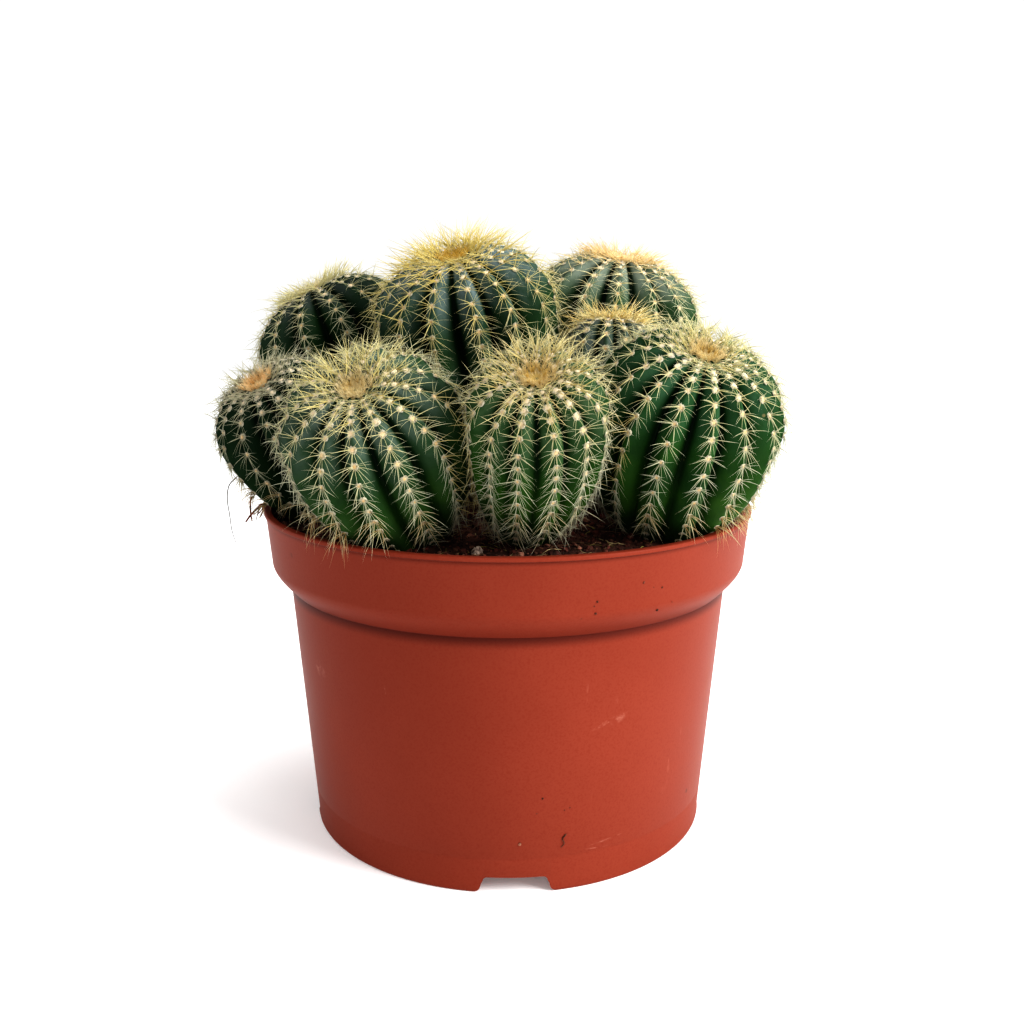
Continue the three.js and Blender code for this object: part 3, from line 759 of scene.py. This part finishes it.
def make_skin(head, material):
    rows = int(head.total / ROW_STEP)
    columns = head.ribs * RIB_SAMPLES
    levels = np.linspace(0, head.total, rows + 2)[1:-1]
    grid = np.meshgrid(levels, np.arange(columns) / RIB_SAMPLES, indexing="ij")
    along, rib = grid[0].ravel(), grid[1].ravel()
    root, crown = head.place(np.zeros(2), np.zeros(2), head.heights[[0, -1]])
    points = np.vstack([root, head.place(*head.skin(along, rib)), crown])
    piece = mesh_object(head.name + "_flesh", points, *closed_faces(rows, columns))
    aside = 2 * np.abs(rib - np.round(rib))
    height = np.interp(along, head.along, head.heights)
    radius = np.interp(along, head.along, head.radii)
    below = head.total - along
    upper = smoothstep(height / head.length, 0.35, 0.8)
    bloom = (1 - smoothstep(below, 8 * MM, 44 * MM)) * (0.35 + 0.65 * smoothstep(aside, 0.05, 0.35))
    bloom = np.minimum((bloom * 0.95 + 0.09) * head.pale, 1) * (1 - smoothstep(aside, 0.62, 0.9))
    amber_reach = 4 * MM * head.amber**2
    made = {
        "age": np.clip(below / head.total * 1.25, 0, 1),
        "bloom": bloom * (1 - smoothstep(-radius, -9 * MM, -4 * MM)),
        # Painted shade in the furrows.
        "furrow": smoothstep(aside, 0.62, 0.97) * (0.35 + 0.65 * upper),
        "cork": 1 - smoothstep(height, BURIED - 1 * MM, BURIED + 7 * MM),
        "gold": (1 - smoothstep(radius, 3.5 * MM, 6.5 * MM)) * (height / head.length > 0.6),
        # Painted shade on the skin of heads that stand in shade.
        "dark": np.full(len(along), head.dark),
        "amber": head.amber * (1 - smoothstep(radius, amber_reach, 2 * MM + amber_reach)),
    }
    for name, values in made.items():
        add_value(piece, name, np.pad(values, 1))
    add_color(piece, "dust", np.tile(head.dust, (len(points), 1)))
    dress(piece, material, head.name)


# ---------------------------------------------------------------- heads: areoles
def areole_places(head):
    """Distances along the skin and rib numbers of the areoles, closer together towards the crown."""
    places = []
    lower = len(head.heights) // 2
    start = np.interp(BURIED + 1 * MM, head.heights[:lower], head.along[:lower])
    for rib in range(head.ribs):
        from_crown = (2.2 + 1.2 * (rib % 2) + head.random.uniform(0, 0.6)) * MM
        while head.total - from_crown > start:
            places.append((head.total - from_crown, rib))
            grown = smoothstep(from_crown, 4 * MM, 24 * MM)
            low = smoothstep(from_crown / head.total, 0.6, 0.95)
            step = AREOLE_STEP * (0.42 + 0.58 * grown) * (1 + 0.05 * low)
            from_crown += step * head.random.uniform(0.9, 1.1)
    places = np.array(places)
    points = head.place(*head.skin(places[:, 0], places[:, 1]))
    return places[~head.meets(points, 2.8 * MM)].T


class Areoles:
    """Places, directions, age and size of one head's areoles."""

    def __init__(self, head):
        along, rib = areole_places(head)
        small = 0.2 * MM
        radius, angle, height = head.skin(along, rib)
        self.points = head.place(radius, angle, height)
        further = head.place(*head.skin(np.minimum(along + small, head.total), rib))
        self.up = unit(further - head.place(*head.skin(along - small, rib)))
        self.side = unit(head.place(radius, angle + 0.01, height) - head.place(radius, angle - 0.01, height))
        self.out = unit(np.cross(self.side, self.up))
        self.from_crown = head.total - along
        self.age = np.clip(self.from_crown / head.total * 1.2, 0, 1)
        self.radius = np.interp(along, head.along, head.radii)
        size = AREOLE_RADIUS * (1.12 - 0.2 * smoothstep(self.from_crown, 8 * MM, 40 * MM))
        size = size * (0.55 + 0.45 * smoothstep(self.radius, 3 * MM, 7 * MM))
        self.size = size * head.random.uniform(0.85, 1.12, len(along))


def make_wool(head, areoles, material):
    """A domed cushion of wool on each areole, with short fibres that stand out of it."""
    random = head.random
    kept = np.flatnonzero((areoles.radius > HEART_RADIUS + 0.2 * MM) | (areoles.age > 0.5))
    count = len(kept)
    centre, size, age = areoles.points[kept], areoles.size[kept], areoles.age[kept]
    side, up, out = areoles.side[kept], areoles.up[kept], areoles.out[kept]
    ring = polar(side[:, None], 1.05 * up[:, None], round_angles(WOOL_SIDES))
    rings = []
    for lift, reach, _ in WOOL_RINGS:
        wobble = random.uniform(0.78, 1.18, (count, WOOL_SIDES, 1))
        height = out[:, None] * (lift * 0.44 - 0.2) * random.uniform(0.8, 1.25, (count, WOOL_SIDES, 1))
        rings.append(centre[:, None] + (ring * reach * wobble + height) * size[:, None, None])
    peak = centre + out * (size * 0.19)[:, None]
    points = np.concatenate([*rings, peak[:, None]], 1)
    each = points.shape[1]
    quads = repeat_faces(ring_quads(len(rings), WOOL_SIDES), each, count)
    closed = np.vstack([fan(each - 1, np.arange(each - 1 - WOOL_SIDES, each - 1)), end_faces(WOOL_SIDES)])
    triangles = repeat_faces(closed, each, count)

    owner = np.repeat(np.arange(count), WOOL_FIBRES)
    flat = polar(side[owner], up[owner], random.uniform(0, TAU, len(owner)))
    direction = unit(flat + out[owner] * random.uniform(0.15, 1.1, len(owner))[:, None])
    inward = random.uniform(0.45, 0.85, len(owner))
    root = centre[owner] + flat * (size[owner] * inward)[:, None]
    root = root + out[owner] * (size[owner] * 0.18 * (1 - inward))[:, None]
    reach = (size[owner] * random.uniform(0.5, 0.9, len(owner)))[:, None]
    across = unit(np.cross(direction, out[owner])) * WOOL_FIBRE_RADIUS
    lift = np.cross(across, direction)
    corners = [root + across * aside + lift * above for aside, above in ((1, 0), (-0.5, 0.87), (-0.5, -0.87))]
    fibres = np.stack([*corners, root + direction * reach], 1).reshape(-1, 3)
    tetrahedron = np.array([(0, 1, 3), (1, 2, 3), (2, 0, 3), (0, 2, 1)])
    triangles = np.vstack([triangles, repeat_faces(tetrahedron, 4, len(owner), count * each)])
    piece = mesh_object(head.name + "_wool", np.vstack([points.reshape(-1, 3), fibres]), quads, triangles)

    # The core of a cushion is peach, and its edge and its fibres are white.
    core = np.append(np.repeat([peach for _, _, peach in WOOL_RINGS], WOOL_SIDES), 1.0)
    core = np.concatenate([np.tile(core, count), np.full(len(fibres), 0.05)])
    age = np.concatenate([np.repeat(age, each), np.repeat(age[owner], 4)])
    young = 1 - smoothstep(age, 0.12, 0.3)
    colors = toward(WOOL_WHITE, WOOL_PEACH, core * (0.95 - 0.35 * young)) + 0.12 * young[:, None]
    colors = toward(colors, WOOL_OLD, smoothstep(age, 0.75, 1.05) * 0.7)
    # Painted shade: the wool of heads that stand in shade is darkened.
    add_color(piece, "tint", colors * (0.3 + 0.7 * head.light if head.light < 1 else 1.0))
    dress(piece, material, head.name)


# ---------------------------------------------------------------- heads: spines
def blocked(points, head):
    """True for points in the pot's wall, in the soil or inside another head."""
    distance = np.hypot(points[..., 0], points[..., 1])
    in_wall = (distance > COLLAR_TOP_RADIUS - WALL - 0.5 * MM) & (distance < LIP_RADIUS + 0.3 * MM)
    bad = in_wall & (points[..., 2] < POT_HEIGHT + 0.3 * MM)
    bad |= (distance <= COLLAR_TOP_RADIUS - WALL) & (points[..., 2] < soil_height(distance) + 0.2 * MM)
    return bad | head.meets(points, 0.15 * MM)


def spine_curve(spines, share):
    """The places at a share of the way from the spines' bases to their tips."""
    return spines.base + (spines.direction * share + spines.bend * share**2) * spines.length[:, None]


def settle_spines(spines, head):
    """Turns the spines that run into something up and outward, and shortens those that still do.

    Returns which spines it changed, and which of them all are clear in the end.
    """
    spines.length, spines.direction = spines.length.copy(), spines.direction.copy()
    distance = np.hypot(spines.base[:, 0], spines.base[:, 1])
    outer = smoothstep(distance, 38 * MM, 62 * MM)
    clear = spines.base * [1, 1, 0] * (outer / distance)[:, None] + np.outer(0.9 - outer, [0, 0, 1])
    changed = np.zeros(len(distance), bool)
    for attempt in range(10):
        samples = np.stack([spine_curve(spines, share) for share in (0.35, 0.6, 0.8, 1.0)], 1)
        bad = blocked(samples, head).any(1)
        if not bad.any():
            break
        changed |= bad
        if attempt < 3:
            spines.direction[bad] = unit(spines.direction[bad] + 0.2 * clear[bad])
        else:
            spines.length[bad] *= 0.78
    return changed, ~bad


def grow_spines(head, areoles):
    """All spines of one head: radials over the flanks, longer centrals, a brush and the hollow's hairs."""
    random = head.random
    parts = []
    distance = np.hypot(areoles.points[:, 0], areoles.points[:, 1])
    low = 1 - smoothstep(areoles.points[:, 2], 118 * MM, 130 * MM)
    by_rim = smoothstep(distance, 68 * MM, 78 * MM) * low
    away = areoles.points * [1, 1, 0] / distance[:, None]

    def add(kind, chosen, around, rise, length):
        count = len(chosen)
        up, out, rim, age = areoles.up[chosen], areoles.out[chosen], by_rim[chosen], areoles.age[chosen]
        flat = polar(up, areoles.side[chosen], around)
        droop = 0.36 * smoothstep(age, 0.12, 0.4) + 0.6 * smoothstep(age, 0.45, 0.95)
        droop = droop * (1 - 0.8 * rim)
        direction = polar(flat, out, rise) + away[chosen] * (1.1 * rim)[:, None]
        bend = unit(random.normal(size=(count, 3))) * 0.11
        bend -= out * random.uniform(0.0, 0.25, count)[:, None]
        bend -= up * random.uniform(0.0, 0.3, count)[:, None]
        bend[:, 2] -= 0.5 * rim
        longer = 1 + 0.2 * rim
        part = {"bend": bend, "age": age, "rim": rim, "kind": np.full(count, kind)}
        part["base"] = areoles.points[chosen] + flat * (areoles.size[chosen] * 0.45)[:, None] + out * 0.1 * MM
        part["direction"] = unit(direction - up * droop[:, None])
        part["length"] = length * (1 if kind == HAIR else head.reach) * longer
        part["thick"] = SPINE_THICK * SPINE_WIDTHS[kind] * random.uniform(0.85, 1.15, count) * longer
        part["middle"] = 1 - smoothstep(areoles.radius[chosen], 1.2 * MM, 4 * MM)
        parts.append(part)

    def spread(chosen, each, sigma):
        """Angles round the areoles, from the crown's side: evenly spread, with some scatter."""
        places = np.tile((np.arange(each) + 0.5) / each, len(chosen) // each)
        gap = 0.9 - 0.45 * smoothstep(areoles.from_crown[chosen], 8 * MM, 20 * MM)
        return gap + places * (TAU - 2 * gap) + random.normal(0, sigma, len(chosen))

    outer = np.flatnonzero((areoles.radius > HEART_RADIUS) | (areoles.age > 0.5))
    young_all = 1 - smoothstep(areoles.from_crown, 8 * MM, 24 * MM)
    # The spines at the front of the crown lie flatter, and leave the hollow open.
    near_crown = 1 - smoothstep(areoles.from_crown, 12 * MM, 20 * MM)
    front = near_crown * smoothstep(areoles.up[:, 1], 0.1, 0.8) * smoothstep(-head.up[1], 0.0, 0.2)
    low_front = 1 - 0.75 * front

    # Radials lie close to the flanks. The ones that point sideways are the longest.
    chosen = np.repeat(outer, SPINE_COUNTS[RADIAL])
    around = spread(chosen, SPINE_COUNTS[RADIAL], 0.12)
    young = young_all[chosen]
    rise = np.radians(random.normal(19, 6, len(chosen)) + 12 * young)
    length = SPINE_LENGTH * (0.42 + 0.34 * np.abs(np.sin(around)) + 0.26 * np.clip(-np.cos(around), 0, 1))
    length *= random.uniform(0.75, 1.12, len(chosen)) * (0.8 + 0.2 * (1 - young))
    length *= 1 + 0.15 * smoothstep(areoles.age[chosen], 0.5, 0.9)
    add(RADIAL, chosen, around, rise, length)

    chosen = np.repeat(outer, SPINE_COUNTS[CENTRAL])
    around = spread(chosen, SPINE_COUNTS[CENTRAL], 0.4)
    young = young_all[chosen]
    rise = np.radians(random.normal(40, 8, len(chosen)) + 6 * young)
    length = SPINE_LENGTH * random.uniform(0.7, 1.1, len(chosen)) * (1 + 0.12 * young)
    add(CENTRAL, chosen, around, rise * low_front[chosen], length)

    # Golden spines stand on the ring round the hollow, and lean out of it in sprays.
    ring = np.flatnonzero((areoles.radius > 4.5 * MM) & (areoles.from_crown < head.brush * MM))
    chosen = np.repeat(ring, SPINE_COUNTS[BRUSH])
    chosen = chosen[random.uniform(0, 1, len(chosen)) > 0.75 * front[chosen]]
    around = math.pi + random.normal(0, 0.7, len(chosen))
    rise = np.radians(random.uniform(26, 60, len(chosen)))
    length = SPINE_LENGTH * random.uniform(0.75, 1.2, len(chosen))
    add(BRUSH, chosen, around, rise * low_front[chosen], length)

    # Inside the hollow the youngest spines are short, fine, tan and close together.
    heart = np.flatnonzero((areoles.radius <= HEART_RADIUS) & (areoles.age < 0.5))
    chosen = np.repeat(heart, SPINE_COUNTS[HAIR])
    around = math.pi + random.normal(0, 1.2, len(chosen))
    rise = np.radians(random.uniform(45, 85, len(chosen)))
    length = (2.4 * MM + 0.35 * areoles.radius[chosen]) * random.uniform(0.7, 1.15, len(chosen))
    add(HAIR, chosen, around, rise, length)

    spines = SimpleNamespace(**{key: np.concatenate([part[key] for part in parts]) for key in parts[0]})
    return thin_out(spines, head)


def thin_out(spines, head):
    """The spines that stay: fewer where they are crowded, and none that were cut to about half."""

    def by_chance(limit):
        return head.random.uniform(0, 1, len(whole)) > limit

    whole, base = spines.length, spines.base
    changed, stays = settle_spines(spines, head)
    crowded = changed & by_chance(0.36)
    spare = (spines.kind < BRUSH) & (spines.age < 0.25) & by_chance(0.75)
    tight = head.meets(base, 3.5 * MM)
    tight |= (base[:, 2] < POT_HEIGHT + 2 * MM) & (np.hypot(base[:, 0], base[:, 1]) > 58 * MM)
    hidden = tight & by_chance(0.45)
    hidden |= head.meets(base, 6.5 * MM) & (spines.kind == RADIAL) & by_chance(0.5)
    stays &= (spines.length > 0.55 * whole) & ~crowded & ~spare & ~hidden
    return SimpleNamespace(**{key: values[stays] for key, values in vars(spines).items()})


def spine_mesh(spines):
    """Tapered, curved needles. Returns points, quads, triangles, and each point's share and needle."""
    count = len(spines.base)
    shares = np.linspace(0, 1, SPINE_STEPS + 1)[:-1]
    across = unit(np.cross(spines.direction, np.array([0.31, 0.17, 0.93])))
    other = np.cross(spines.direction, across)
    ring = polar(across[:, None], other[:, None], round_angles(SPINE_SIDES))
    rings = []
    for share in shares:
        width = (spines.thick * (1 - 0.75 * share))[:, None, None]
        rings.append(spine_curve(spines, share)[:, None] + ring * width)
    points = np.concatenate([*rings, spine_curve(spines, 1.0)[:, None]], 1)
    each = points.shape[1]
    quads = np.vstack([ring_quads(SPINE_STEPS, SPINE_SIDES), np.arange(SPINE_SIDES)[::-1]])
    triangles = fan(each - 1, np.arange(each - 1 - SPINE_SIDES, each - 1))
    faces = [repeat_faces(part, each, count) for part in (quads, triangles)]
    point_share = np.tile(np.append(np.repeat(shares, SPINE_SIDES), 1.0), count)
    return points.reshape(-1, 3), *faces, point_share, np.repeat(np.arange(count), each)


def flank_tones(spines, head):
    """The colours of the spines outside the hollow, from golden at the crown to grey and rust below."""
    age, rim, warm, fresh = spines.age, spines.rim, spines.warm, spines.fresh
    tone = toward(CREAM, STRAW, np.clip(fresh * 0.9 + 0.35 * warm, 0, min(1, 2 * head.golden)))
    tone = toward(tone, HOARY, smoothstep(age, 0.45, 0.8) * 0.6 * (1 - rim))
    # Painted shade: the oldest spines, low on the head, are darkened, except by the rim.
    tone = tone * (1 - 0.2 * smoothstep(age, 0.55, 0.95) * (1 - rim))[:, None]
    tone = toward(tone, OLIVE, np.maximum(spines.nestled, 0.8 * rim) * (0.5 + 0.5 * warm))
    rusty = np.maximum(0.6 * smoothstep(age, 0.7, 0.95), rim) * (warm > 0.5)
    tone = toward(tone, RUST, rusty * (0.3 + 0.5 * warm))
    orange = min(head.orange, 1.2 * head.golden - 0.1)
    youngest = 1 - smoothstep(age, 0.08, 0.26)
    tone = toward(tone, TAN, 0.85 * orange * youngest * (0.4 + 0.6 * warm))
    gold = GOLD + (TAN - GOLD) * orange
    golden = np.select([spines.kind == BRUSH, spines.kind == CENTRAL], [0.9, 0.5 * fresh], 0.2 * fresh)
    # Where the golden spines reach far down, the flanks are golden too.
    golden = golden + 0.6 * (head.brush > 20) * (1 - smoothstep(age, 0.3, 0.65))
    return toward(tone, gold, np.clip(head.golden * golden * (0.5 + 0.5 * warm), 0, 1))


def hollow_tones(spines, head):
    """The colours of the hairs in the hollow, deepest in its middle."""
    middle, warm = spines.middle, spines.warm
    soft = toward(FUZZ, PEACH, head.orange * (0.45 + 0.5 * middle) * (0.6 + 0.4 * warm))
    deep = np.clip(head.amber**2 + middle * (0.4 + 0.6 * head.amber), 0, 1) * (0.7 + 0.3 * warm)
    return toward(soft, AMBER, deep * (1 - 0.7 * head.orange))


def make_spines(head, areoles, material):
    spines = grow_spines(head, areoles)
    points, quads, triangles, share, needle = spine_mesh(spines)
    piece = mesh_object(head.name + "_spines", points, quads, triangles)
    count = len(spines.base)
    hair = spines.kind == HAIR
    spines.warm = head.random.uniform(0, 1, count)
    spines.fresh = 1 - smoothstep(spines.age, 0.12, 0.5)
    spines.nestled = head.meets(spine_curve(spines, 1.0), 3.5 * MM) | head.meets(spines.base, 6 * MM)
    tone = np.where(hair[:, None], hollow_tones(spines, head), flank_tones(spines, head))
    # The tips are paler and the feet of the young spines are amber.
    plain = np.where(hair, 0, 0.45 - 0.3 * np.maximum(spines.rim, spines.nestled))
    plain = plain * (1 - 0.6 * spines.fresh * head.golden)
    # The pale tips are dimmed on heads with painted shade.
    colors = toward(tone[needle], PALE, plain[needle] * smoothstep(share, 0.25, 1.0) * min(head.light, 1))
    deep = hair * np.clip(0.2 + head.amber * spines.middle, 0, 1)
    inner = deep[needle] * (1 - smoothstep(share, 0.0, 0.6))
    inner = inner + (spines.kind == BRUSH)[needle] * 0.25 * (1 - smoothstep(share, 0.0, 0.4))
    colors = toward(colors, AMBER, inner)
    # Painted lighting: the spines of heads in shade are darkened and those the key lamp falls on brightened;
    # the random spread is their own tone.
    light = np.where(hair, max(head.light, 0.9), head.light)
    light = light * (0.78 + 0.32 * head.random.uniform(0, 1, count))
    colors = np.clip(colors * light[needle][:, None], 0, 1)
    add_color(piece, "tint", colors)
    # Painted light: a faint glow on all spines, and a stronger one on the hollow's hairs.
    add_color(piece, "glow", colors * np.where(hair, 0.12, 0.02)[needle][:, None])
    dress(piece, material, head.name)


# ---------------------------------------------------------------- soil
SOIL_RADIUS = collar_radius(SOIL_EDGE) - WALL


def soil_height(distance):
    return SOIL_EDGE + SOIL_MOUND * (1 - np.minimum(distance / SOIL_RADIUS, 1) ** 2)


def rough_height(x, y):
    """The crumbly surface of the soil."""
    lumps = noise.fractal(Vector((x * 55, y * 55, 3.1)), 0.6, 2.2, 4) * 0.9 * MM
    grains = noise.fractal(Vector((x * 420, y * 420, 7.7)), 0.7, 2.1, 3) * 0.35 * MM
    return float(soil_height(math.hypot(x, y))) + lumps + grains


def make_soil():
    edge = SOIL_RADIUS - CLEARANCE
    rings = [[(0, 0, rough_height(0, 0))]]
    for step in range(1, SOIL_RINGS + 1):
        ring = ring_points(edge * step / SOIL_RINGS, 0, SOIL_SIDES)
        ring[:, 2] = [rough_height(x, y) for x, y in ring[:, :2]]
        rings.append(ring)
    wall = [(edge, SOIL_EDGE - 4 * MM), *collar_curve(WALL + CLEARANCE, 5)[::-1]]
    wall.append((pot_body_radius(SOIL_BOTTOM) - WALL - CLEARANCE, SOIL_BOTTOM))
    rings += [ring_points(radius, height, SOIL_SIDES) for radius, height in wall]
    rings.append([(0, 0, SOIL_BOTTOM)])
    # The rings run downward here, so the faces are turned over.
    faces = [np.roll(part[:, ::-1], 1, axis=1) for part in closed_faces(len(rings) - 2, SOIL_SIDES)]
    dress(mesh_object("soil_bed", np.vstack(rings), *faces), soil_material(), "soil")


def free_places(count, heads, random, reach):
    """Random places on the soil that no head covers."""
    places = []
    while len(places) < count:
        distance = reach * math.sqrt(random.uniform(0, 1))
        angle = random.uniform(0, TAU)
        x, y = distance * math.cos(angle), distance * math.sin(angle)
        point = np.array([x, y, rough_height(x, y)])
        if not any(head.holds(point, -0.5 * MM) for head in heads):
            places.append(point)
    return np.array(places)


def unit_lump(subdivisions):
    shape = bmesh.new()
    bmesh.ops.create_icosphere(shape, subdivisions=subdivisions, radius=1)
    points = np.array([vertex.co[:] for vertex in shape.verts])
    faces = np.array([[vertex.index for vertex in face.verts] for face in shape.faces])
    shape.free()
    return points, faces


def scatter_lumps(name, places, sizes, subdivisions, tints, random, material):
    """A piece of angular lumps, each with its own place, size and tint."""
    shape, faces = unit_lump(subdivisions)
    lumps = []
    for place, size in zip(places, sizes):
        stretch = random.uniform(0.6, 1.25, 3)
        rough = 1 + random.uniform(-0.24, 0.24, len(shape))
        turn = np.linalg.qr(random.normal(size=(3, 3)))[0]
        if np.linalg.det(turn) < 0:
            turn[:, 0] *= -1
        lumps.append((shape * rough[:, None] * stretch) @ turn.T * size + place)
    piece = mesh_object(name, np.vstack(lumps), repeat_faces(faces, len(shape), len(lumps)))
    piece.data.shade_flat()
    add_color(piece, "tint", np.repeat(tints, len(shape), axis=0))
    dress(piece, material, "soil")


def shades(tints, low, high, random):
    """The tints, each made darker or brighter by chance."""
    return tints * random.uniform(low, high, (len(tints), 1))


def make_crumbs(heads, material):
    random = np.random.default_rng(7)
    reach = SOIL_RADIUS - 1.5 * MM
    places = free_places(CRUMB_COUNT, heads, random, reach)
    sizes = (0.25 + 0.75 * random.uniform(0, 1, CRUMB_COUNT) ** 3) * MM
    tints = shades(CRUMB_BROWNS[random.integers(0, 4, CRUMB_COUNT)], 0.7, 1.3, random)
    scatter_lumps("soil_crumbs", places, sizes, 1, tints, random, material)
    places = free_places(LUMP_COUNT, heads, random, reach - 1 * MM)
    sizes = random.uniform(0.9, 1.9, LUMP_COUNT) * MM
    tints = shades(CRUMB_BROWNS[random.integers(0, 4, LUMP_COUNT)], 0.8, 1.5, random)
    scatter_lumps("soil_lumps", places, sizes, 2, tints, random, material)
    x, y, sizes = np.array(STONES).T * MM
    places = np.column_stack([x, y, [rough_height(*place) + 0.5 * MM for place in zip(x, y)]])
    tints = shades(np.tile(STONE, (len(STONES), 1)), 0.8, 1.1, random)
    scatter_lumps("soil_stones", places, sizes, 3, tints, random, material)


def strand(points, radius):
    """Rings of points along a thin round strand that tapers to half its radius."""
    points = np.asarray(points)
    tangent = unit(np.gradient(points, axis=0))
    across = unit(np.cross(tangent, np.array([0.2, 0.35, 0.9])))
    width = radius * np.linspace(1, 0.5, len(points))[:, None, None]
    ring = polar(across[:, None], np.cross(tangent, across)[:, None], round_angles(STRAND_SIDES))
    return (points[:, None] + ring * width).reshape(-1, 3)


def join_strands(name, strands, tints, material):
    quads, triangles = [], []
    first = 0
    for points in strands:
        quads.append(first + ring_quads(len(points) // STRAND_SIDES, STRAND_SIDES))
        triangles.append(first + end_faces(STRAND_SIDES))
        first += len(points)
        triangles.append(first - STRAND_SIDES + end_faces(STRAND_SIDES)[:, ::-1])
    piece = mesh_object(name, np.vstack(strands), np.vstack(quads), np.vstack(triangles))
    add_color(piece, "tint", np.repeat(tints, [len(points) for points in strands], axis=0))
    dress(piece, material, "soil")


def make_fibres(heads, material):
    """Dry roots, bark fibres and fallen spines on the soil."""
    random = np.random.default_rng(21)
    reach = SOIL_RADIUS - 4 * MM
    steps = 7
    strands, tints = [], []
    for x, y, _ in free_places(FIBRE_COUNT, heads, random, reach):
        heading = random.uniform(0, TAU)
        length = random.uniform(3, 12) * MM
        points = []
        for step in range(steps):
            distance = math.hypot(x, y)
            if distance > reach:
                x, y = x * reach / distance, y * reach / distance
            lift = (0.25 + 0.5 * math.sin(math.pi * step / (steps - 1)) * random.uniform(0.2, 1)) * MM
            points.append((x, y, rough_height(x, y) + lift))
            heading += random.normal(0, 0.35)
            x += math.cos(heading) * length / steps
            y += math.sin(heading) * length / steps
        kind = random.integers(0, 4)
        strands.append(strand(points, random.uniform(0.1, 0.24) * MM))
        tints.append(FIBRE_BROWNS[kind] * random.uniform(0.8, 1.2))
    join_strands("soil_fibres", strands, tints, material)


def smooth_line(points, each=5):
    """A curve through the given points, which are in mm."""
    points = np.asarray(points, float) * MM
    padded = np.vstack([2 * points[0] - points[1], points, 2 * points[-1] - points[-2]])
    curve = []
    for index in range(1, len(padded) - 2):
        before, start, end, after = padded[index - 1 : index + 3]
        for share in np.arange(each) / each:
            bend = (2 * before - 5 * start + 4 * end - after) * share**2
            bend = bend + (3 * start - before - 3 * end + after) * share**3
            curve.append(0.5 * (2 * start + (end - before) * share + bend))
    return np.vstack([curve, points[-1]])


def make_stray_roots(material):
    """Root ends that hang over the rim under the left head, one long hair, and a fibre near the foot."""
    random = np.random.default_rng(5)
    strands, tints = [], []
    for line, radius in ROOT_ENDS:
        strands.append(strand(smooth_line(line), radius * MM))
        tints.append(RED_ROOT * random.uniform(0.8, 1.5))
    for index in range(SMALL_ROOTS):
        y = -12 + 2.6 * index
        drop = random.uniform(1.5, 5)
        side = random.uniform(-2, 2)
        line = [(-83.9, y, 114.5), (-86.0, y + 0.3 * side, 114.3), (-87.1, y + 0.7 * side, 113 - 0.5 * drop)]
        line.append((-87.6 - random.uniform(0, 1.4), y + side, 112.5 - drop))
        strands.append(strand(smooth_line(line), random.uniform(0.2, 0.36) * MM))
        tints.append(RED_ROOT * random.uniform(0.8, 1.6))
    fibre = [pot_surface(angle, height * MM, 0.25 * MM) / MM for angle, height in FOOT_FIBRE]
    strands += [strand(smooth_line(line), 0.2 * MM) for line in (LONG_HAIR, fibre)]
    join_strands("stray_roots", strands, [*tints, DARK_HAIR, BROWN_FIBRE], material)


def make_flecks(material):
    """Bits of soil on the pot's front, and a pale grain near the foot."""
    random = np.random.default_rng(9)
    places = np.array([pot_surface(angle, height * MM) for angle, height, size in FLECKS])
    sizes = np.array([size for angle, height, size in FLECKS]) * MM
    tints = shades(np.tile(DRIED_SOIL, (len(FLECKS), 1)), 0.7, 1.4, random)
    tints[-1] = PALE_GRAIN
    scatter_lumps("soil_flecks", places, sizes, 2, tints, random, material)


# ---------------------------------------------------------------- all of it
make_camera()
make_studio()
make_pot()
heads = make_heads()
make_soil()
crumbs = crumb_material()
make_crumbs(heads, crumbs)
make_fibres(heads, crumbs)
make_stray_roots(crumbs)
make_flecks(crumbs)
skin, wool, needles = skin_material(), wool_material(), spine_material()
for head in heads:
    make_skin(head, skin)
    areoles = Areoles(head)
    make_wool(head, areoles, wool)
    make_spines(head, areoles, needles)
